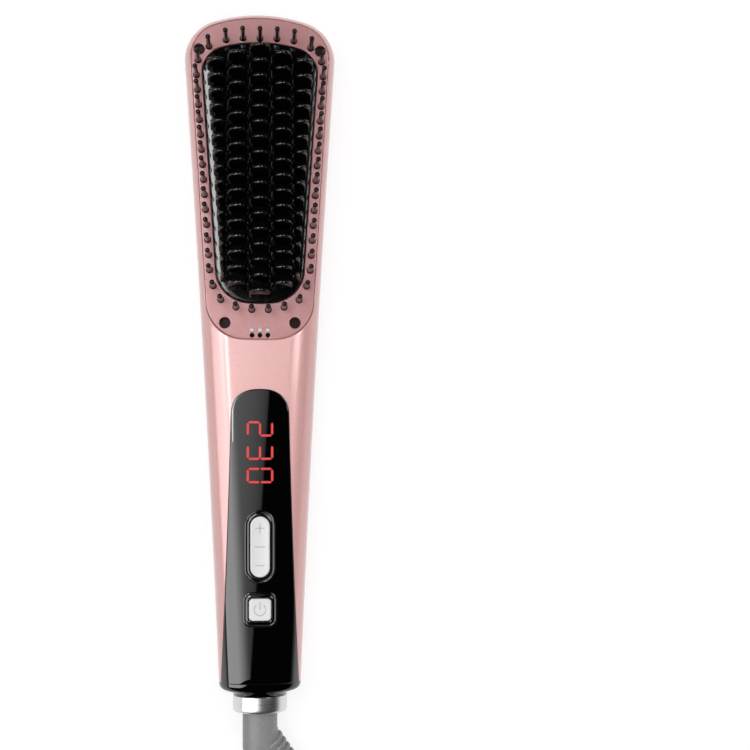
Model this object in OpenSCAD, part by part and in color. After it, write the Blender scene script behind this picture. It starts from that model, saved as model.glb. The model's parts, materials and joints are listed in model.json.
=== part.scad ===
// Hair straightening brush, lying on its back with the teeth up.
// X runs across the brush, Y along it towards the head, and Z is up from the surface it lies on.

/* [Body] */
// Length of the two shells, from the tip of the head to the tail face
shell_len = 278.6; // [272:0.2:290]
// Half-width of the head
head_half = 31.6; // [31:0.1:33]
// Half-width of the tail
tail_half = 17; // [16.4:0.1:18]
// How far the sides draw in between head and tail
side_bow = 0.85; // [0:0.05:1]
// Radius of the head's corners
corner_r = 17.2; // [15:0.2:18]
// Radius of the crown
crown_r = 64; // [60:1:75]
// Height of the seam between the shells
seam_z = 12; // [11.8:0.1:12.4]
// Height of the front face
front_z = 24; // [23.8:0.1:25]
// Width of the front's rounded edge
front_round = 12; // [10:0.5:12]
// Fullness of the rounded edges, where 2 is an ellipse
edge_power = 2.2; // [2:0.05:2.4]
// Thickness of the shells' walls
wall = 2; // [1.6:0.1:2.2]

/* [Back cover] */
// Thickness of the gloss back cover
cover_t = 1.7; // [1.4:0.1:2]
// Half-width of the cover at the head
cover_head_half = 22.9; // [21:0.1:24]
// Half-width of the cover at the tail
cover_tail_half = 15.4; // [14:0.1:15.6]
// Width of the back shell's rim beyond the cover at the tip
cover_rim = 6.1; // [5:0.1:8]

/* [Head] */
// Height of the face frame's top
frame_z = 20.3; // [20:0.1:20.6]
// Thickness of the face frame
frame_t = 2; // [1.6:0.1:2.2]
// Width of the front shell's lip round the face frame
lip_w = 2.8; // [2.5:0.1:3]
// Distance from the head's tip to the foot of the face frame
frame_len = 137.7; // [134:0.1:140]
// Half-width of the face frame where its foot begins to round
frame_foot_half = 22.4; // [21.8:0.1:23]
// Width of the face frame above the heater plate
frame_top_w = 10.6; // [10:0.1:12]
// Width of the face frame below the heater plate
frame_foot_w = 15.4; // [15:0.1:18]
// Width of the face frame beside the plate at the head
frame_side_w = 5; // [4.7:0.1:5.6]
// Width of the face frame beside the plate at its foot
frame_low_side_w = 4.2; // [4:0.1:4.8]
// Height of the heater plate's face above the face frame
plate_proud = 0.9; // [0.6:0.1:1.4]
// Height of a tooth above the plate
tooth_h = 11.5; // [9:0.5:13]
// Thickness of a tooth's foot along the brush
tooth_t = 4.6; // [3.6:0.1:5]
// Thickness of a tooth's tip
tooth_tip_t = 1.6; // [1.2:0.1:2]
// Width of a tooth in the three middle columns
tooth_w = 8.5; // [7.6:0.1:8.6]
// Height of a guard bristle
bristle_h = 15.8; // [13:0.1:18]
// Radius of a guard bristle's shaft
bristle_r = 0.95; // [0.8:0.05:1.1]
// Radius of a guard bristle's base
bristle_base_r = 1.6; // [1.3:0.05:1.8]

/* [Controls] */
// Distance from the face frame to the arched top of the control panel
panel_gap = 20.5; // [19:0.1:24]
// Thickness of the control panel
panel_t = 1.6; // [1.2:0.1:1.8]
// Half-width of the panel below its arch
panel_top_half = 11.9; // [11.5:0.1:12.4]
// Half-width of the panel at the tail
panel_tail_half = 15.9; // [15.5:0.1:16.4]
// Height of the display's digits
digit_h = 10.9; // [9:0.1:11.4]
// Width of a digit
digit_w = 6.4; // [5:0.1:7]
// Pitch of the digits
digit_pitch = 9.55; // [9:0.05:10]
// Length of the rocker button
rocker_len = 24.8; // [23:0.1:25.6]
// Width of the rocker button
rocker_w = 8; // [7.6:0.1:8.4]
// Side of the power button
power_w = 9; // [8.6:0.1:9.4]
// Height of the buttons above the panel
button_proud = 0.9; // [0.7:0.05:1.3]
// Width of the band round a button
bezel_w = 2.1; // [1.8:0.1:2.3]
// Gap round a moving button
button_gap = 0.35; // [0.3:0.05:0.45]
// Travel of the power button
power_travel = 0.5; // [0.3:0.05:0.6]

/* [Tail] */
// Length of the tail cap's neck
cap_len = 5.4; // [5:0.1:8]
// Length of the collar
collar_len = 7; // [6:0.1:9]
// Radius of the collar
collar_r = 11.2; // [10.6:0.1:11.6]
// Radius of the strain relief where it leaves the collar
boot_r = 7.2; // [7:0.1:7.3]
// Length of the strain relief's ribbed taper
boot_taper_len = 24; // [20:1:26]
// Angle of the bend in the strain relief
boot_bend = 39; // [34:1:42]
// Radius of the swivel sleeve's journal
journal_r = 6; // [5.6:0.1:6.4]

/* [Cord] */
// Diameter of the cord
cord_d = 6; // [5.8:0.1:6.2]
// Length of the hank's straight runs
hank_run = 90; // [88:1:94]
// Step from one loop to the next
hank_step = 7.2; // [7.1:0.05:7.3]
// Height of one layer of loops above the other
hank_layer = 6.6; // [6.5:0.05:6.8]
// How far the runs draw in at the tie
hank_waist = 14; // [13:0.1:14]
// Width of the plug's body
plug_w = 35; // [33:0.5:36]
// Length of the plug's body
plug_len = 36; // [34:0.5:36]

/* [Hidden] */
$fn = 48;

// Places along the brush
tip_y = (shell_len + cap_len + collar_len) / 2;
tail_y = tip_y - shell_len;
cap_y = tail_y - cap_len;
collar_y = cap_y - collar_len;
frame_foot_y = tip_y - frame_len;
plate_tip_y = tip_y - lip_w - frame_top_w;
plate_foot_y = frame_foot_y + frame_foot_w;
plate_len = plate_tip_y - plate_foot_y;
plate_top_half = head_half - lip_w - frame_side_w;
plate_foot_half = frame_foot_half - frame_low_side_w;
panel_top_y = frame_foot_y - panel_gap;
panel_len = panel_top_y - tail_y;
rocker_y = panel_top_y - 64.5;
power_y = rocker_y - 25.5;
digit_y = panel_top_y - 16.3;
fit = 0.15;
seat = 0.3;
thin = 0.02;

// Heights
axis_z = seam_z;
cover_z = cover_t;
floor_z = cover_z + 1.8;
ledge_z = frame_z - frame_t - 1;
pocket_z = front_z - panel_t - wall;
panel_proud = 0.15;
panel_z = front_z + panel_proud;
plate_z = frame_z + plate_proud;
plate_low_z = frame_z - frame_t - 1.1;
board_z = 12.4;
board_t = 1.6;
element_t = 2.8;
mica_t = 0.4;
bracket_t = 0.8;
element_z = plate_low_z - element_t;
mica_z = element_z - mica_t;
bracket_z = mica_z - bracket_t;

function lerp(a, b, t) = a + (b - a) * t;
function unit(v) = v / norm(v);
function clip(v, low, high) = max(low, min(high, v));

// Outlines. One is half an outline's [x, y] points from its foot to its tip, then the mirrored half.
function arc(c, r, a0, a1, n) = [for (i = [0 : n]) c + r * [cos(lerp(a0, a1, i / n)), sin(lerp(a0, a1, i / n))]];
function rest_of(list) = [for (i = [1 : len(list) - 1]) list[i]];
function mirrored(half) = concat(half, [for (i = [len(half) - 2 : -1 : 0]) [-half[i].x, half[i].y]]);
function closed(half) = concat(half, [for (i = [len(half) - 2 : -1 : 1]) [-half[i].x, half[i].y]]);
function corner_dy(big, small, cx) = big - sqrt(pow(big - small, 2) - cx * cx);
function crown_angle(big, small, cx) = 90 - asin(cx / (big - small));

// The top of an outline: a corner of radius small under a crown of radius big
function crowned(tip, half, small, big, n) =
    let (cx = half - small, cy = tip - corner_dy(big, small, cx), a = crown_angle(big, small, cx))
    concat(arc([cx, cy], small, 0, a, n), rest_of(arc([0, tip - big], big, a, 90, ceil(n / 2))));

// Half-width of the body at a place along it
side_top_y = tip_y - corner_dy(crown_r, corner_r, head_half - corner_r);
function side_u(y) = (y - tail_y) / (side_top_y - tail_y);
function half_at(y) = lerp(tail_half, head_half, side_u(y)) - side_bow * 4 * side_u(y) * (1 - side_u(y));

SIDE_N = 12;
CORNER_N = 8;
// The body's outline, drawn in by d all round except at the tail, where it draws in by tail_d
function body_half(d, tail_d) = concat(
    [for (i = [0 : SIDE_N - 1])
        let (y = lerp(tail_y, side_top_y, i / SIDE_N))
        [half_at(y) - lerp(tail_d, d, clip(4 * i / SIDE_N, 0, 1)), y]],
    crowned(tip_y - d, head_half - d, corner_r - d, crown_r - d, CORNER_N));
function cover_half(d) =
    let (tip = tip_y - cover_rim - d, half = cover_head_half - d, small = 9 - d, big = 75 - d,
        top_y = tip - corner_dy(big, small, half - small))
    concat(
        [for (i = [0 : SIDE_N - 1])
            let (y = lerp(tail_y, top_y, i / SIDE_N)) [lerp(cover_tail_half - d, half, i / SIDE_N), y]],
        crowned(tip, half, small, big, CORNER_N));

// A shield: crowned at its tip and, upside down, at its foot
function reversed(list) = [for (i = [len(list) - 1 : -1 : 0]) list[i]];
function shield(tip, foot, top_half, foot_half, small, big, foot_small, foot_big) = closed(concat(
    [for (p = reversed(crowned(-foot, foot_half, foot_small, foot_big, CORNER_N))) [p.x, -p.y]],
    crowned(tip, top_half, small, big, CORNER_N)));
function opening_line(d) = shield(
    tip_y - lip_w - d, frame_foot_y + d, head_half - lip_w - d, frame_foot_half - d,
    corner_r - lip_w - d, crown_r - lip_w - d, 16 - d, 200 - d);
plate_corner_r = 11;
plate_crown_r = 60;
plate_foot_r = 14;
function plate_line(d) = shield(
    plate_tip_y + d, plate_foot_y - d, plate_top_half + d, plate_foot_half + d,
    plate_corner_r + d, plate_crown_r + d, plate_foot_r + d, plate_crown_r + d);
plate_side_y0 = plate_foot_y + corner_dy(plate_crown_r, plate_foot_r, plate_foot_half - plate_foot_r);
plate_side_y1 = plate_tip_y - corner_dy(plate_crown_r, plate_corner_r, plate_top_half - plate_corner_r);
function plate_half_at(y) =
    lerp(plate_foot_half, plate_top_half, clip((y - plate_side_y0) / (plate_side_y1 - plate_side_y0), 0, 1));
// Half-width of the plate where its foot corner has begun to turn
function plate_edge_at(y) =
    plate_half_at(y) - plate_foot_r + sqrt(max(1, pow(plate_foot_r, 2) - pow(max(0, plate_side_y0 - y), 2)));

// Skins through rings of points that all have the same count
function quad(a, b, c, d) = [[a, b, c], [a, c, d]];
function band(next, last, n) = [for (i = [0 : n - 1])
    each quad(next * n + i, last * n + i, last * n + (i + 1) % n, next * n + (i + 1) % n)];
function ladder(k, n) = [for (i = [0 : ceil(n / 2) - 2])
    each i + 1 == n - 2 - i
        ? [[k * n + i, k * n + n - 1 - i, k * n + i + 1]]
        : quad(k * n + i, k * n + n - 1 - i, k * n + n - 2 - i, k * n + i + 1)];
function flipped(faces) = [for (f = faces) [f[0], f[2], f[1]]];
module skin(rings) {
    n = len(rings[0]);
    last = len(rings) - 1;
    polyhedron(
        points = [for (r = rings) each r],
        faces = concat(
            ladder(0, n),
            [for (k = [0 : last - 1]) each band(k + 1, k, n)],
            flipped(ladder(last, n))),
        convexity = 8);
}
function raised(line, z) = [for (p = line) [p.x, p.y, z]];
function blend(a, b, t) = [for (i = [0 : len(a) - 1]) lerp(a[i], b[i], t)];

// A rounded edge: how far in and how far up at each of its steps
EDGE_N = 8;
function edge_in(k) = 1 - pow(cos(90 * k / EDGE_N), 2 / edge_power);
function edge_up(k) = pow(sin(90 * k / EDGE_N), 2 / edge_power);
function dome(low_line, high_line, z0, z1) =
    [for (k = [0 : EDGE_N]) raised(blend(low_line, high_line, edge_in(k)), z0 + (z1 - z0) * edge_up(k))];

// Height of the front's surface over a point
function front_at(x, y) =
    let (e = clip((half_at(y) - abs(x)) / front_round, 0, 1))
    seam_z + (front_z - seam_z) * pow(1 - pow(1 - e, edge_power), 1 / edge_power);

// Tubes along a line of points
function across(t) = unit(cross(t, [0, 0, 1]));
function ring_at(p, t, r, n) =
    let (s = across(t), u = cross(s, t))
    [for (i = [0 : n - 1]) p + r * (cos(360 * i / n) * s + sin(360 * i / n) * u)];
function heading(line, i) = unit(line[min(i + 1, len(line) - 1)] - line[max(i - 1, 0)]);
module tube(line, r, n) {
    skin([for (i = [0 : len(line) - 1]) ring_at(line[i], heading(line, i), is_list(r) ? r[i] : r, n)]);
}
function spline_point(p, i, t) =
    let (a = p[max(i - 1, 0)], b = p[i], c = p[i + 1], d = p[min(i + 2, len(p) - 1)])
    0.5 * (2 * b + (c - a) * t + (2 * a - 5 * b + 4 * c - d) * t * t + (3 * b - a - 3 * c + d) * t * t * t);
function smooth(p, steps) = concat(
    [for (i = [0 : len(p) - 2], k = [0 : steps - 1]) spline_point(p, i, k / steps)], [p[len(p) - 1]]);

module post(x, y, z0, z1, r) {
    translate([x, y, z0])
        cylinder(r = r, h = z1 - z0);
}
module along_y(y0, y1, r) {
    translate([0, y1, axis_z])
        rotate([90, 0, 0])
            cylinder(r = r, h = y1 - y0);
}
module slab(line, z0, z1) {
    translate([0, 0, z0])
        linear_extrude(height = z1 - z0)
            polygon(line);
}
module block(low, high) {
    translate(low)
        cube(high - low);
}
module stadium(len, width) {
    for (s = [-1, 1])
        translate([0, s * (len - width) / 2])
            circle(r = width / 2);
    square([width, len - width], center = true);
}
module round_square(side_x, side_y, r) {
    square([side_x, side_y - 2 * r], center = true);
    square([side_x - 2 * r, side_y], center = true);
    for (sx = [-1, 1], sy = [-1, 1])
        translate([sx * (side_x / 2 - r), sy * (side_y / 2 - r)])
            circle(r = r);
}

// Screws and the places they go
face_screw_r = 2.35;
face_screw_top = [head_half - 6.4, tip_y - 16.4];
face_screw_foot = [frame_foot_half - 7.9, frame_foot_y + 7.1];
face_screws_at = [for (p = [face_screw_top, face_screw_foot], s = [-1, 1]) [s * p.x, p.y]];
case_screw_top = [15.5, frame_foot_y - 12];
case_screw_tail = [11.5, tail_y + 9.5];
case_screws_at = [for (p = [case_screw_top, case_screw_tail], s = [-1, 1]) [s * p.x, p.y]];
board_top_y = panel_top_y - 4;
board_low_y = power_y - 11;
board_half = 11;
board_screws_at = [for (x = [-8.5, 8.5], y = [board_top_y - 3, board_low_y + 3]) [x, y]];
bracket_posts_at = [for (x = [-13, 13], y = [plate_tip_y - 20, plate_foot_y + 20]) [x, y]];
screw_r = 1.2;
screw_hole_r = 1.25;
boss_r = 3;

// Buttons
bezel_z = panel_z + 0.4;
bezel_low_z = 19.4;
button_z = panel_z + button_proud;
rocker_pin_z = 21;
rocker_pin_r = 0.9;
rocker_foot_y = rocker_len / 2 - 3.6;
switch_h = 3.6;
plunger_r = 1.7;
power_foot_z = bezel_low_z - 1.2;
plunger_z = power_foot_z - power_travel - 0.05;
switch_z = board_z + board_t;

// ---------------------------------------------------------------- shells
module front_solid() {
    outer = dome(mirrored(body_half(0, 0)), mirrored(body_half(front_round, front_round)), seam_z, front_z);
    inner = dome(
        mirrored(body_half(wall, wall)), mirrored(body_half(front_round, front_round)), seam_z, ledge_z);
    tail_wall = [for (r = inner) [for (p = r) [p.x, max(p.y, tail_y + wall), p.z]]];
    skin(concat(reversed(outer), tail_wall));
}

function panel_half_at(y) =
    let (u = (y - tail_y) / (panel_len - 11),
        side = lerp(panel_tail_half, panel_top_half, u) - 1.4 * max(0, u * (1 - u)),
        up = clip((y - panel_top_y + 11) / 11, 0, 0.9999))
    side * pow(1 - pow(up, 2.42), 1 / 2.42);
PANEL_N = 12;
function panel_section(y, grow, lift, drop) =
    let (h = panel_half_at(y) + grow)
    concat(
        [for (i = [0 : PANEL_N]) let (x = h * (2 * i / PANEL_N - 1)) [x, y, front_at(x, y) + lift]],
        [for (i = [PANEL_N : -1 : 0]) let (x = h * (2 * i / PANEL_N - 1)) [x, y, front_at(x, y) - drop]]);
// The panel's body: grow widens it, lift and drop set its faces from the front's surface
module panel_form(grow, lift, drop, past) {
    arch = [for (k = [1 : 8]) panel_top_y - 11 + 11 * pow(cos(90 * k / 9), 0.8)];
    sides = [for (k = [0 : 8]) lerp(panel_top_y - 11, tail_y - past, k / 8)];
    skin([for (y = concat([panel_top_y - thin + grow], arch, sides)) panel_section(min(y, panel_top_y + grow), grow, lift, drop)]);
}

module front_shell() {
    color([0.88, 0.69, 0.67])
        difference() {
            union() {
                difference() {
                    front_solid();
                    slab(opening_line(0), frame_z - frame_t, front_z + 1);
                    slab(opening_line(1.5), seam_z, front_z + 1);
                    panel_form(fit, 5, panel_t, 1);
                    slab([
                        [-half_at(tail_y) + front_round - 2, tail_y + 14], [half_at(tail_y) - front_round + 2, tail_y + 14],
                        [10.6, frame_foot_y - 4], [-10.6, frame_foot_y - 4]
                    ], ledge_z - 1, pocket_z);
                    translate([0, digit_y - digit_pitch, pocket_z - 1])
                        linear_extrude(height = 10)
                            square([12.6, 3 * digit_pitch + 0.6], center = true);
                    translate([0, rocker_y, pocket_z - 1])
                        linear_extrude(height = 10)
                            stadium(rocker_len + 2 * bezel_w, rocker_w + 2 * bezel_w);
                    translate([0, power_y, pocket_z - 1])
                        linear_extrude(height = 10)
                            round_square(power_w + 2 * bezel_w, power_w + 2 * bezel_w, 3);
                    along_y(tail_y - 1, tail_y + 16, spigot_r + 0.2);
                }
                for (p = face_screws_at)
                    post(p.x, p.y, seam_z + 1, frame_z - frame_t, boss_r + 0.9);
                for (s = [-1, 1])
                    translate([s * face_screw_foot.x, face_screw_foot.y, seam_z + 1])
                        rotate([0, 0, s * 45])
                            translate([-2, -7.5, 0])
                                cube([4, 7, ledge_z + 0.6 - seam_z - 1]);
                for (p = case_screws_at)
                    post(p.x, p.y, seam_z - 4, ledge_z + 1, boss_r);
            }
            for (p = face_screws_at) {
                post(p.x, p.y, seam_z + 3.5, front_z, face_screw_r);
                post(p.x, p.y, seam_z, front_z, screw_hole_r);
            }
            for (p = case_screws_at)
                post(p.x, p.y, seam_z - 5, ledge_z - 1, screw_hole_r);
        }
}

module back_shell() {
    rim = mirrored(cover_half(-0.25));
    outer = dome(mirrored(body_half(0, 0)), rim, seam_z, 0.3);
    inner = dome(
        mirrored(body_half(wall, wall)), mirrored(cover_half(wall - 0.6)), seam_z, floor_z);
    tail_wall = [for (r = inner) [for (p = r) [p.x, max(p.y, tail_y + wall), p.z]]];
    color([0.86, 0.66, 0.64])
        difference() {
            union() {
                skin(concat(reversed(tail_wall), outer, [raised(rim, cover_z)]));
                for (p = face_screws_at)
                    post(p.x, p.y, floor_z - 0.5, seam_z + 1, boss_r);
                for (p = case_screws_at)
                    post(p.x, p.y, floor_z - 0.5, seam_z - 4, boss_r);
                for (p = board_screws_at)
                    post(p.x, p.y, floor_z - 0.5, board_z, 2.2);
                for (p = bracket_posts_at)
                    post(p.x, p.y, floor_z - 0.5, bracket_z, 2.2);
            }
            for (p = face_screws_at)
                post(p.x, p.y, floor_z + 1, seam_z + 2, screw_hole_r);
            for (p = case_screws_at) {
                post(p.x, p.y, 0, seam_z, screw_hole_r + 0.1);
                post(p.x, p.y, 0, cover_z + 2.4, 2.5);
            }
            for (p = board_screws_at)
                post(p.x, p.y, floor_z + 2, board_z + 1, 0.85);
            along_y(tail_y - 1, tail_y + wall + 1, spigot_r + 0.2);
        }
}

module back_cover() {
    color([0.03, 0.03, 0.035]) {
        slab(mirrored(cover_half(0.5)), 0, cover_z);
        slab(mirrored(cover_half(0)), 0.5, cover_z);
    }
}

// ---------------------------------------------------------------- head
module face_frame() {
    color([0.84, 0.62, 0.6])
        difference() {
            slab(opening_line(fit), frame_z - frame_t, frame_z);
            slab(plate_line(seat), frame_z - frame_t - 1, frame_z + 1);
            for (p = face_screws_at)
                post(p.x, p.y, frame_z - frame_t - 1, frame_z + 1, face_screw_r);
            for (i = [-1 : 1]) {
                post(i * outlet_pitch, outlet_y, frame_z - frame_t - 1, frame_z + 1, outlet_r);
                post(i * outlet_pitch, nozzle_y, frame_z - frame_t - 1, frame_z + 1, nozzle_r + 0.05);
            }
        }
}

// Guard bristles stand on the face frame in a closed line round the heater plate
side_rows = 15;
side_pitch = (plate_len - 7.7 - 13.6) / (side_rows - 1);
bristle_off = 2.6;
bristle_side = [for (i = [0 : side_rows - 1])
    let (y = plate_tip_y - 7.7 - side_pitch * i) [plate_half_at(y) + bristle_off - (i == 0 ? 0.7 : 0), y]];
bristle_top_y = plate_tip_y + 1.9;
bristle_top = [for (k = [1 : 3]) [7.05 * k, bristle_top_y - 3.75 * pow(k / 3, 3.6)]];
bristle_foot = concat(
    [[3.4, plate_foot_y - 2.8]],
    [for (a = [-82, -46, -12]) [plate_foot_half - 9.8, plate_foot_y + 9.3] + 11.2 * [cos(a), sin(a)]]);
bristle_half = concat(bristle_side, bristle_top, bristle_foot);
bristles_at = concat([[0, bristle_top_y]], bristle_half, [for (p = bristle_half) [-p.x, p.y]]);

module guard_bristle() {
    rotate_extrude()
        polygon([
            [0, 0], [bristle_base_r, 0], [bristle_base_r, 0.7], [bristle_base_r - 0.25, 1.1],
            [bristle_r, 1.4], [bristle_r, bristle_h - 2], [0, bristle_h - 1]
        ]);
    translate([0, 0, bristle_h - bristle_r - 0.2])
        sphere(r = bristle_r + 0.2);
}
module guard_bristles() {
    color([0.13, 0.06, 0.05])
        for (p = bristles_at)
            translate([p.x, p.y, frame_z])
                guard_bristle();
}

module heater_plate() {
    color([0.05, 0.05, 0.05]) {
        slab(plate_line(0), plate_low_z, plate_z - 0.4);
        slab(plate_line(-0.4), plate_low_z, plate_z);
        slab(plate_line(1.4), plate_low_z, frame_z - frame_t);
    }
}

// Five columns of teeth, the outer ones as wide as the plate leaves them
tooth_column = 9;
tooth_edge = 1.9;
tooth_rows = 17;
tooth_pitch = (plate_len - 3.7 - 4.3) / (tooth_rows - 1);
tooth_stagger = tooth_pitch / 2;
tooth_columns = [[0, tooth_rows], [1, tooth_rows - 1], [2, tooth_rows - 2]];
// A wedge along the brush, cut to an arch across it
module tooth(w) {
    r = w / 2;
    tip = tooth_tip_t / 2;
    intersection() {
        rotate([90, 0, 90])
            translate([0, 0, -r])
                linear_extrude(height = w) {
                    polygon([[-tooth_t / 2, 0], [tooth_t / 2, 0], [tip, tooth_h - tip], [-tip, tooth_h - tip]]);
                    translate([0, tooth_h - tip])
                        circle(r = tip);
                }
        rotate([90, 0, 0])
            translate([0, 0, -tooth_t])
                linear_extrude(height = 2 * tooth_t) {
                    translate([-r, -1])
                        square([w, tooth_h - r + 1]);
                    translate([0, tooth_h - r])
                        circle(r = r);
                }
    }
}
module heating_teeth() {
    color([0.04, 0.04, 0.045])
        for (c = tooth_columns, i = [0 : c[1] - 1], s = c[0] == 0 ? [1] : [-1, 1]) {
            y = plate_tip_y - 3.7 - tooth_stagger * c[0] - tooth_pitch * i;
            inner_x = c[0] < 2 ? c[0] * tooth_column - tooth_w / 2 : 1.5 * tooth_column;
            outer_x = c[0] < 2
                ? inner_x + tooth_w
                : min(plate_half_at(y) - tooth_edge, plate_edge_at(y - tooth_t / 2) - 0.6);
            translate([s * (inner_x + outer_x) / 2, y, plate_z])
                tooth(outer_x - inner_x);
        }
}

element_half = 11;
element_low_y = plate_foot_y + 12;
element_high_y = plate_tip_y - 12;
module heating_element() {
    color([0.75, 0.76, 0.78])
        block([-element_half, element_low_y, element_z], [element_half, element_high_y, plate_low_z]);
}
module mica_sheet() {
    color([0.72, 0.62, 0.45])
        block([-element_half - 1, element_low_y - 1, mica_z], [element_half + 1, element_high_y + 1, element_z]);
}
module heater_bracket() {
    color([0.6, 0.6, 0.62])
        difference() {
            union() {
                block([-element_half + 2, element_low_y + 2, bracket_z], [element_half - 2, element_high_y - 2, mica_z]);
                for (y = [plate_tip_y - 20, plate_foot_y + 20])
                    block([-15.5, y - 3, bracket_z], [15.5, y + 3, mica_z]);
            }
            post(0, (element_low_y + element_high_y) / 2, bracket_z - 1, mica_z + 1, 4);
        }
}
module thermistor() {
    color([0.75, 0.3, 0.1])
        translate([14, plate_foot_y + 52, plate_low_z - 1.25])
            rotate([90, 0, 0])
                cylinder(r = 1.2, h = 6);
}
module thermal_fuse() {
    color([0.8, 0.8, 0.8])
        translate([-14.4, plate_foot_y + 60, plate_low_z - 1.75])
            rotate([90, 0, 0])
                cylinder(r = 1.7, h = 10);
}
module screw(x, y, head_z, head_h, head_r, shank_len, up) {
    translate([x, y, head_z])
        mirror([0, 0, up ? 1 : 0])
            difference() {
                union() {
                    cylinder(r = head_r, h = head_h);
                    translate([0, 0, -shank_len])
                        cylinder(r = screw_r, h = shank_len);
                }
                for (a = [0, 90])
                    rotate([0, 0, a])
                        translate([-head_r * 0.55, -0.25, head_h - 0.7])
                            cube([head_r * 1.1, 0.5, 1]);
            }
}
module face_screws() {
    color([0.25, 0.25, 0.26])
        for (p = face_screws_at)
            screw(p.x, p.y, seam_z + 3.5, 1.6, face_screw_r - 0.2, 8.5, false);
}
outlet_pitch = 3.25;
outlet_r = 1;
outlet_y = frame_foot_y + 2;
nozzle_y = outlet_y + 2.1;
nozzle_r = 0.9;
module outlet_nozzles() {
    color([0.95, 0.94, 0.92])
        for (i = [-1 : 1]) {
            post(i * outlet_pitch, nozzle_y, seam_z + 1.2, frame_z + 0.5, nozzle_r);
            translate([i * outlet_pitch, nozzle_y, frame_z + 0.5])
                sphere(r = nozzle_r);
        }
}
ion_half = 7;
module ion_generator() {
    color([0.16, 0.2, 0.3]) {
        block([-ion_half, max(frame_foot_y - 14, board_top_y + 3), floor_z], [ion_half, frame_foot_y + 6, seam_z - 1.5]);
        for (i = [-1 : 1])
            post(i * outlet_pitch, nozzle_y, seam_z - 2, seam_z + 1.2, 0.6);
    }
}

// ---------------------------------------------------------------- controls
module control_panel() {
    color([0.02, 0.02, 0.025])
        difference() {
            panel_form(0, panel_proud, panel_t - 0.02, 0);
            translate([0, rocker_y, pocket_z])
                linear_extrude(height = 10)
                    stadium(rocker_len + 2 * bezel_w, rocker_w + 2 * bezel_w);
            translate([0, power_y, pocket_z])
                linear_extrude(height = 10)
                    round_square(power_w + 2 * bezel_w, power_w + 2 * bezel_w, 3);
        }
}
seg_t = 1.05;
// Segments of a digit that reads along -Y, as [x, y, length along x, length along y]
seg_x = (digit_h - seg_t) / 2;
seg_y = (digit_w - seg_t) / 2;
seg_long = seg_x - seg_t - 0.2;
segments = [
    [seg_x, 0, seg_t, digit_w - 2.4], [0, 0, seg_t, digit_w - 2.4], [-seg_x, 0, seg_t, digit_w - 2.4],
    [seg_x / 2, -seg_y, seg_long, seg_t], [-seg_x / 2, -seg_y, seg_long, seg_t],
    [seg_x / 2, seg_y, seg_long, seg_t], [-seg_x / 2, seg_y, seg_long, seg_t]
];
digits = [[0, 1, 2, 3, 6], [0, 1, 2, 3, 4], [0, 2, 3, 4, 5, 6]];
module display_digits() {
    color([0.9, 0.12, 0.12])
        for (k = [0 : 2], i = digits[k])
            translate([segments[i][0], digit_y - digit_pitch * k + segments[i][1], panel_z + 0.1])
                cube([segments[i][2], segments[i][3], 0.2], center = true);
}
module display_module() {
    color([0.12, 0.12, 0.13])
        translate([0, digit_y - digit_pitch, board_z + board_t])
            linear_extrude(height = front_z - panel_t - seat - board_z - board_t)
                square([12, 3 * digit_pitch], center = true);
}
module rocker_bezel() {
    outer_len = rocker_len + 2 * bezel_w - 0.3;
    outer_w = rocker_w + 2 * bezel_w - 0.3;
    color([0.04, 0.04, 0.045])
        difference() {
            translate([0, rocker_y, bezel_low_z]) {
                linear_extrude(height = panel_z - bezel_low_z + 0.01)
                    stadium(outer_len, outer_w);
                translate([0, 0, panel_z - bezel_low_z])
                    linear_extrude(height = bezel_z - panel_z)
                        stadium(outer_len + 1.4, outer_w + 0.8);
            }
            translate([0, rocker_y, bezel_low_z - 1])
                linear_extrude(height = 10)
                    stadium(rocker_len + 2 * button_gap + 0.4, rocker_w + 2 * button_gap);
            translate([-outer_w, rocker_y, rocker_pin_z])
                rotate([0, 90, 0])
                    cylinder(r = rocker_pin_r + 0.02, h = 2 * outer_w);
        }
}
module power_bezel() {
    outer = power_w + 2 * bezel_w - 0.3;
    hole = power_w + 2 * button_gap;
    color([0.04, 0.04, 0.045])
        difference() {
            translate([0, power_y, bezel_low_z]) {
                linear_extrude(height = panel_z - bezel_low_z + 0.01)
                    round_square(outer, outer, 2.8);
                translate([0, 0, panel_z - bezel_low_z])
                    linear_extrude(height = bezel_z - panel_z)
                        round_square(outer + 0.9, outer + 1.4, 3.2);
            }
            translate([0, power_y, bezel_low_z - 1])
                linear_extrude(height = 10)
                    round_square(hole, hole, 1.7);
        }
}
module temperature_rocker() {
    color([0.95, 0.95, 0.95])
        difference() {
            translate([0, rocker_y, 0]) {
                translate([0, 0, button_z - 3])
                    linear_extrude(height = 2.6)
                        stadium(rocker_len, rocker_w);
                translate([0, 0, button_z - 0.4 - 0.01])
                    linear_extrude(height = 0.41)
                        stadium(rocker_len - 0.8, rocker_w - 0.8);
                block([-rocker_w / 2 + 0.6, -4, rocker_pin_z - 2.2], [rocker_w / 2 - 0.6, 4, button_z - 2]);
                for (s = [-1, 1])
                    post(0, s * rocker_foot_y, rocker_foot_z, button_z - 2, 1.6);
            }
            translate([-rocker_w, rocker_y, rocker_pin_z])
                rotate([0, 90, 0])
                    cylinder(r = rocker_pin_r + 0.08, h = 2 * rocker_w);
        }
}
rocker_foot_z = plunger_z + 0.75;
module rocker_pin() {
    color([0.75, 0.75, 0.77])
        translate([-rocker_w / 2 - bezel_w + 0.4, rocker_y, rocker_pin_z])
            rotate([0, 90, 0])
                cylinder(r = rocker_pin_r, h = rocker_w + 2 * bezel_w - 0.8);
}
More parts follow.
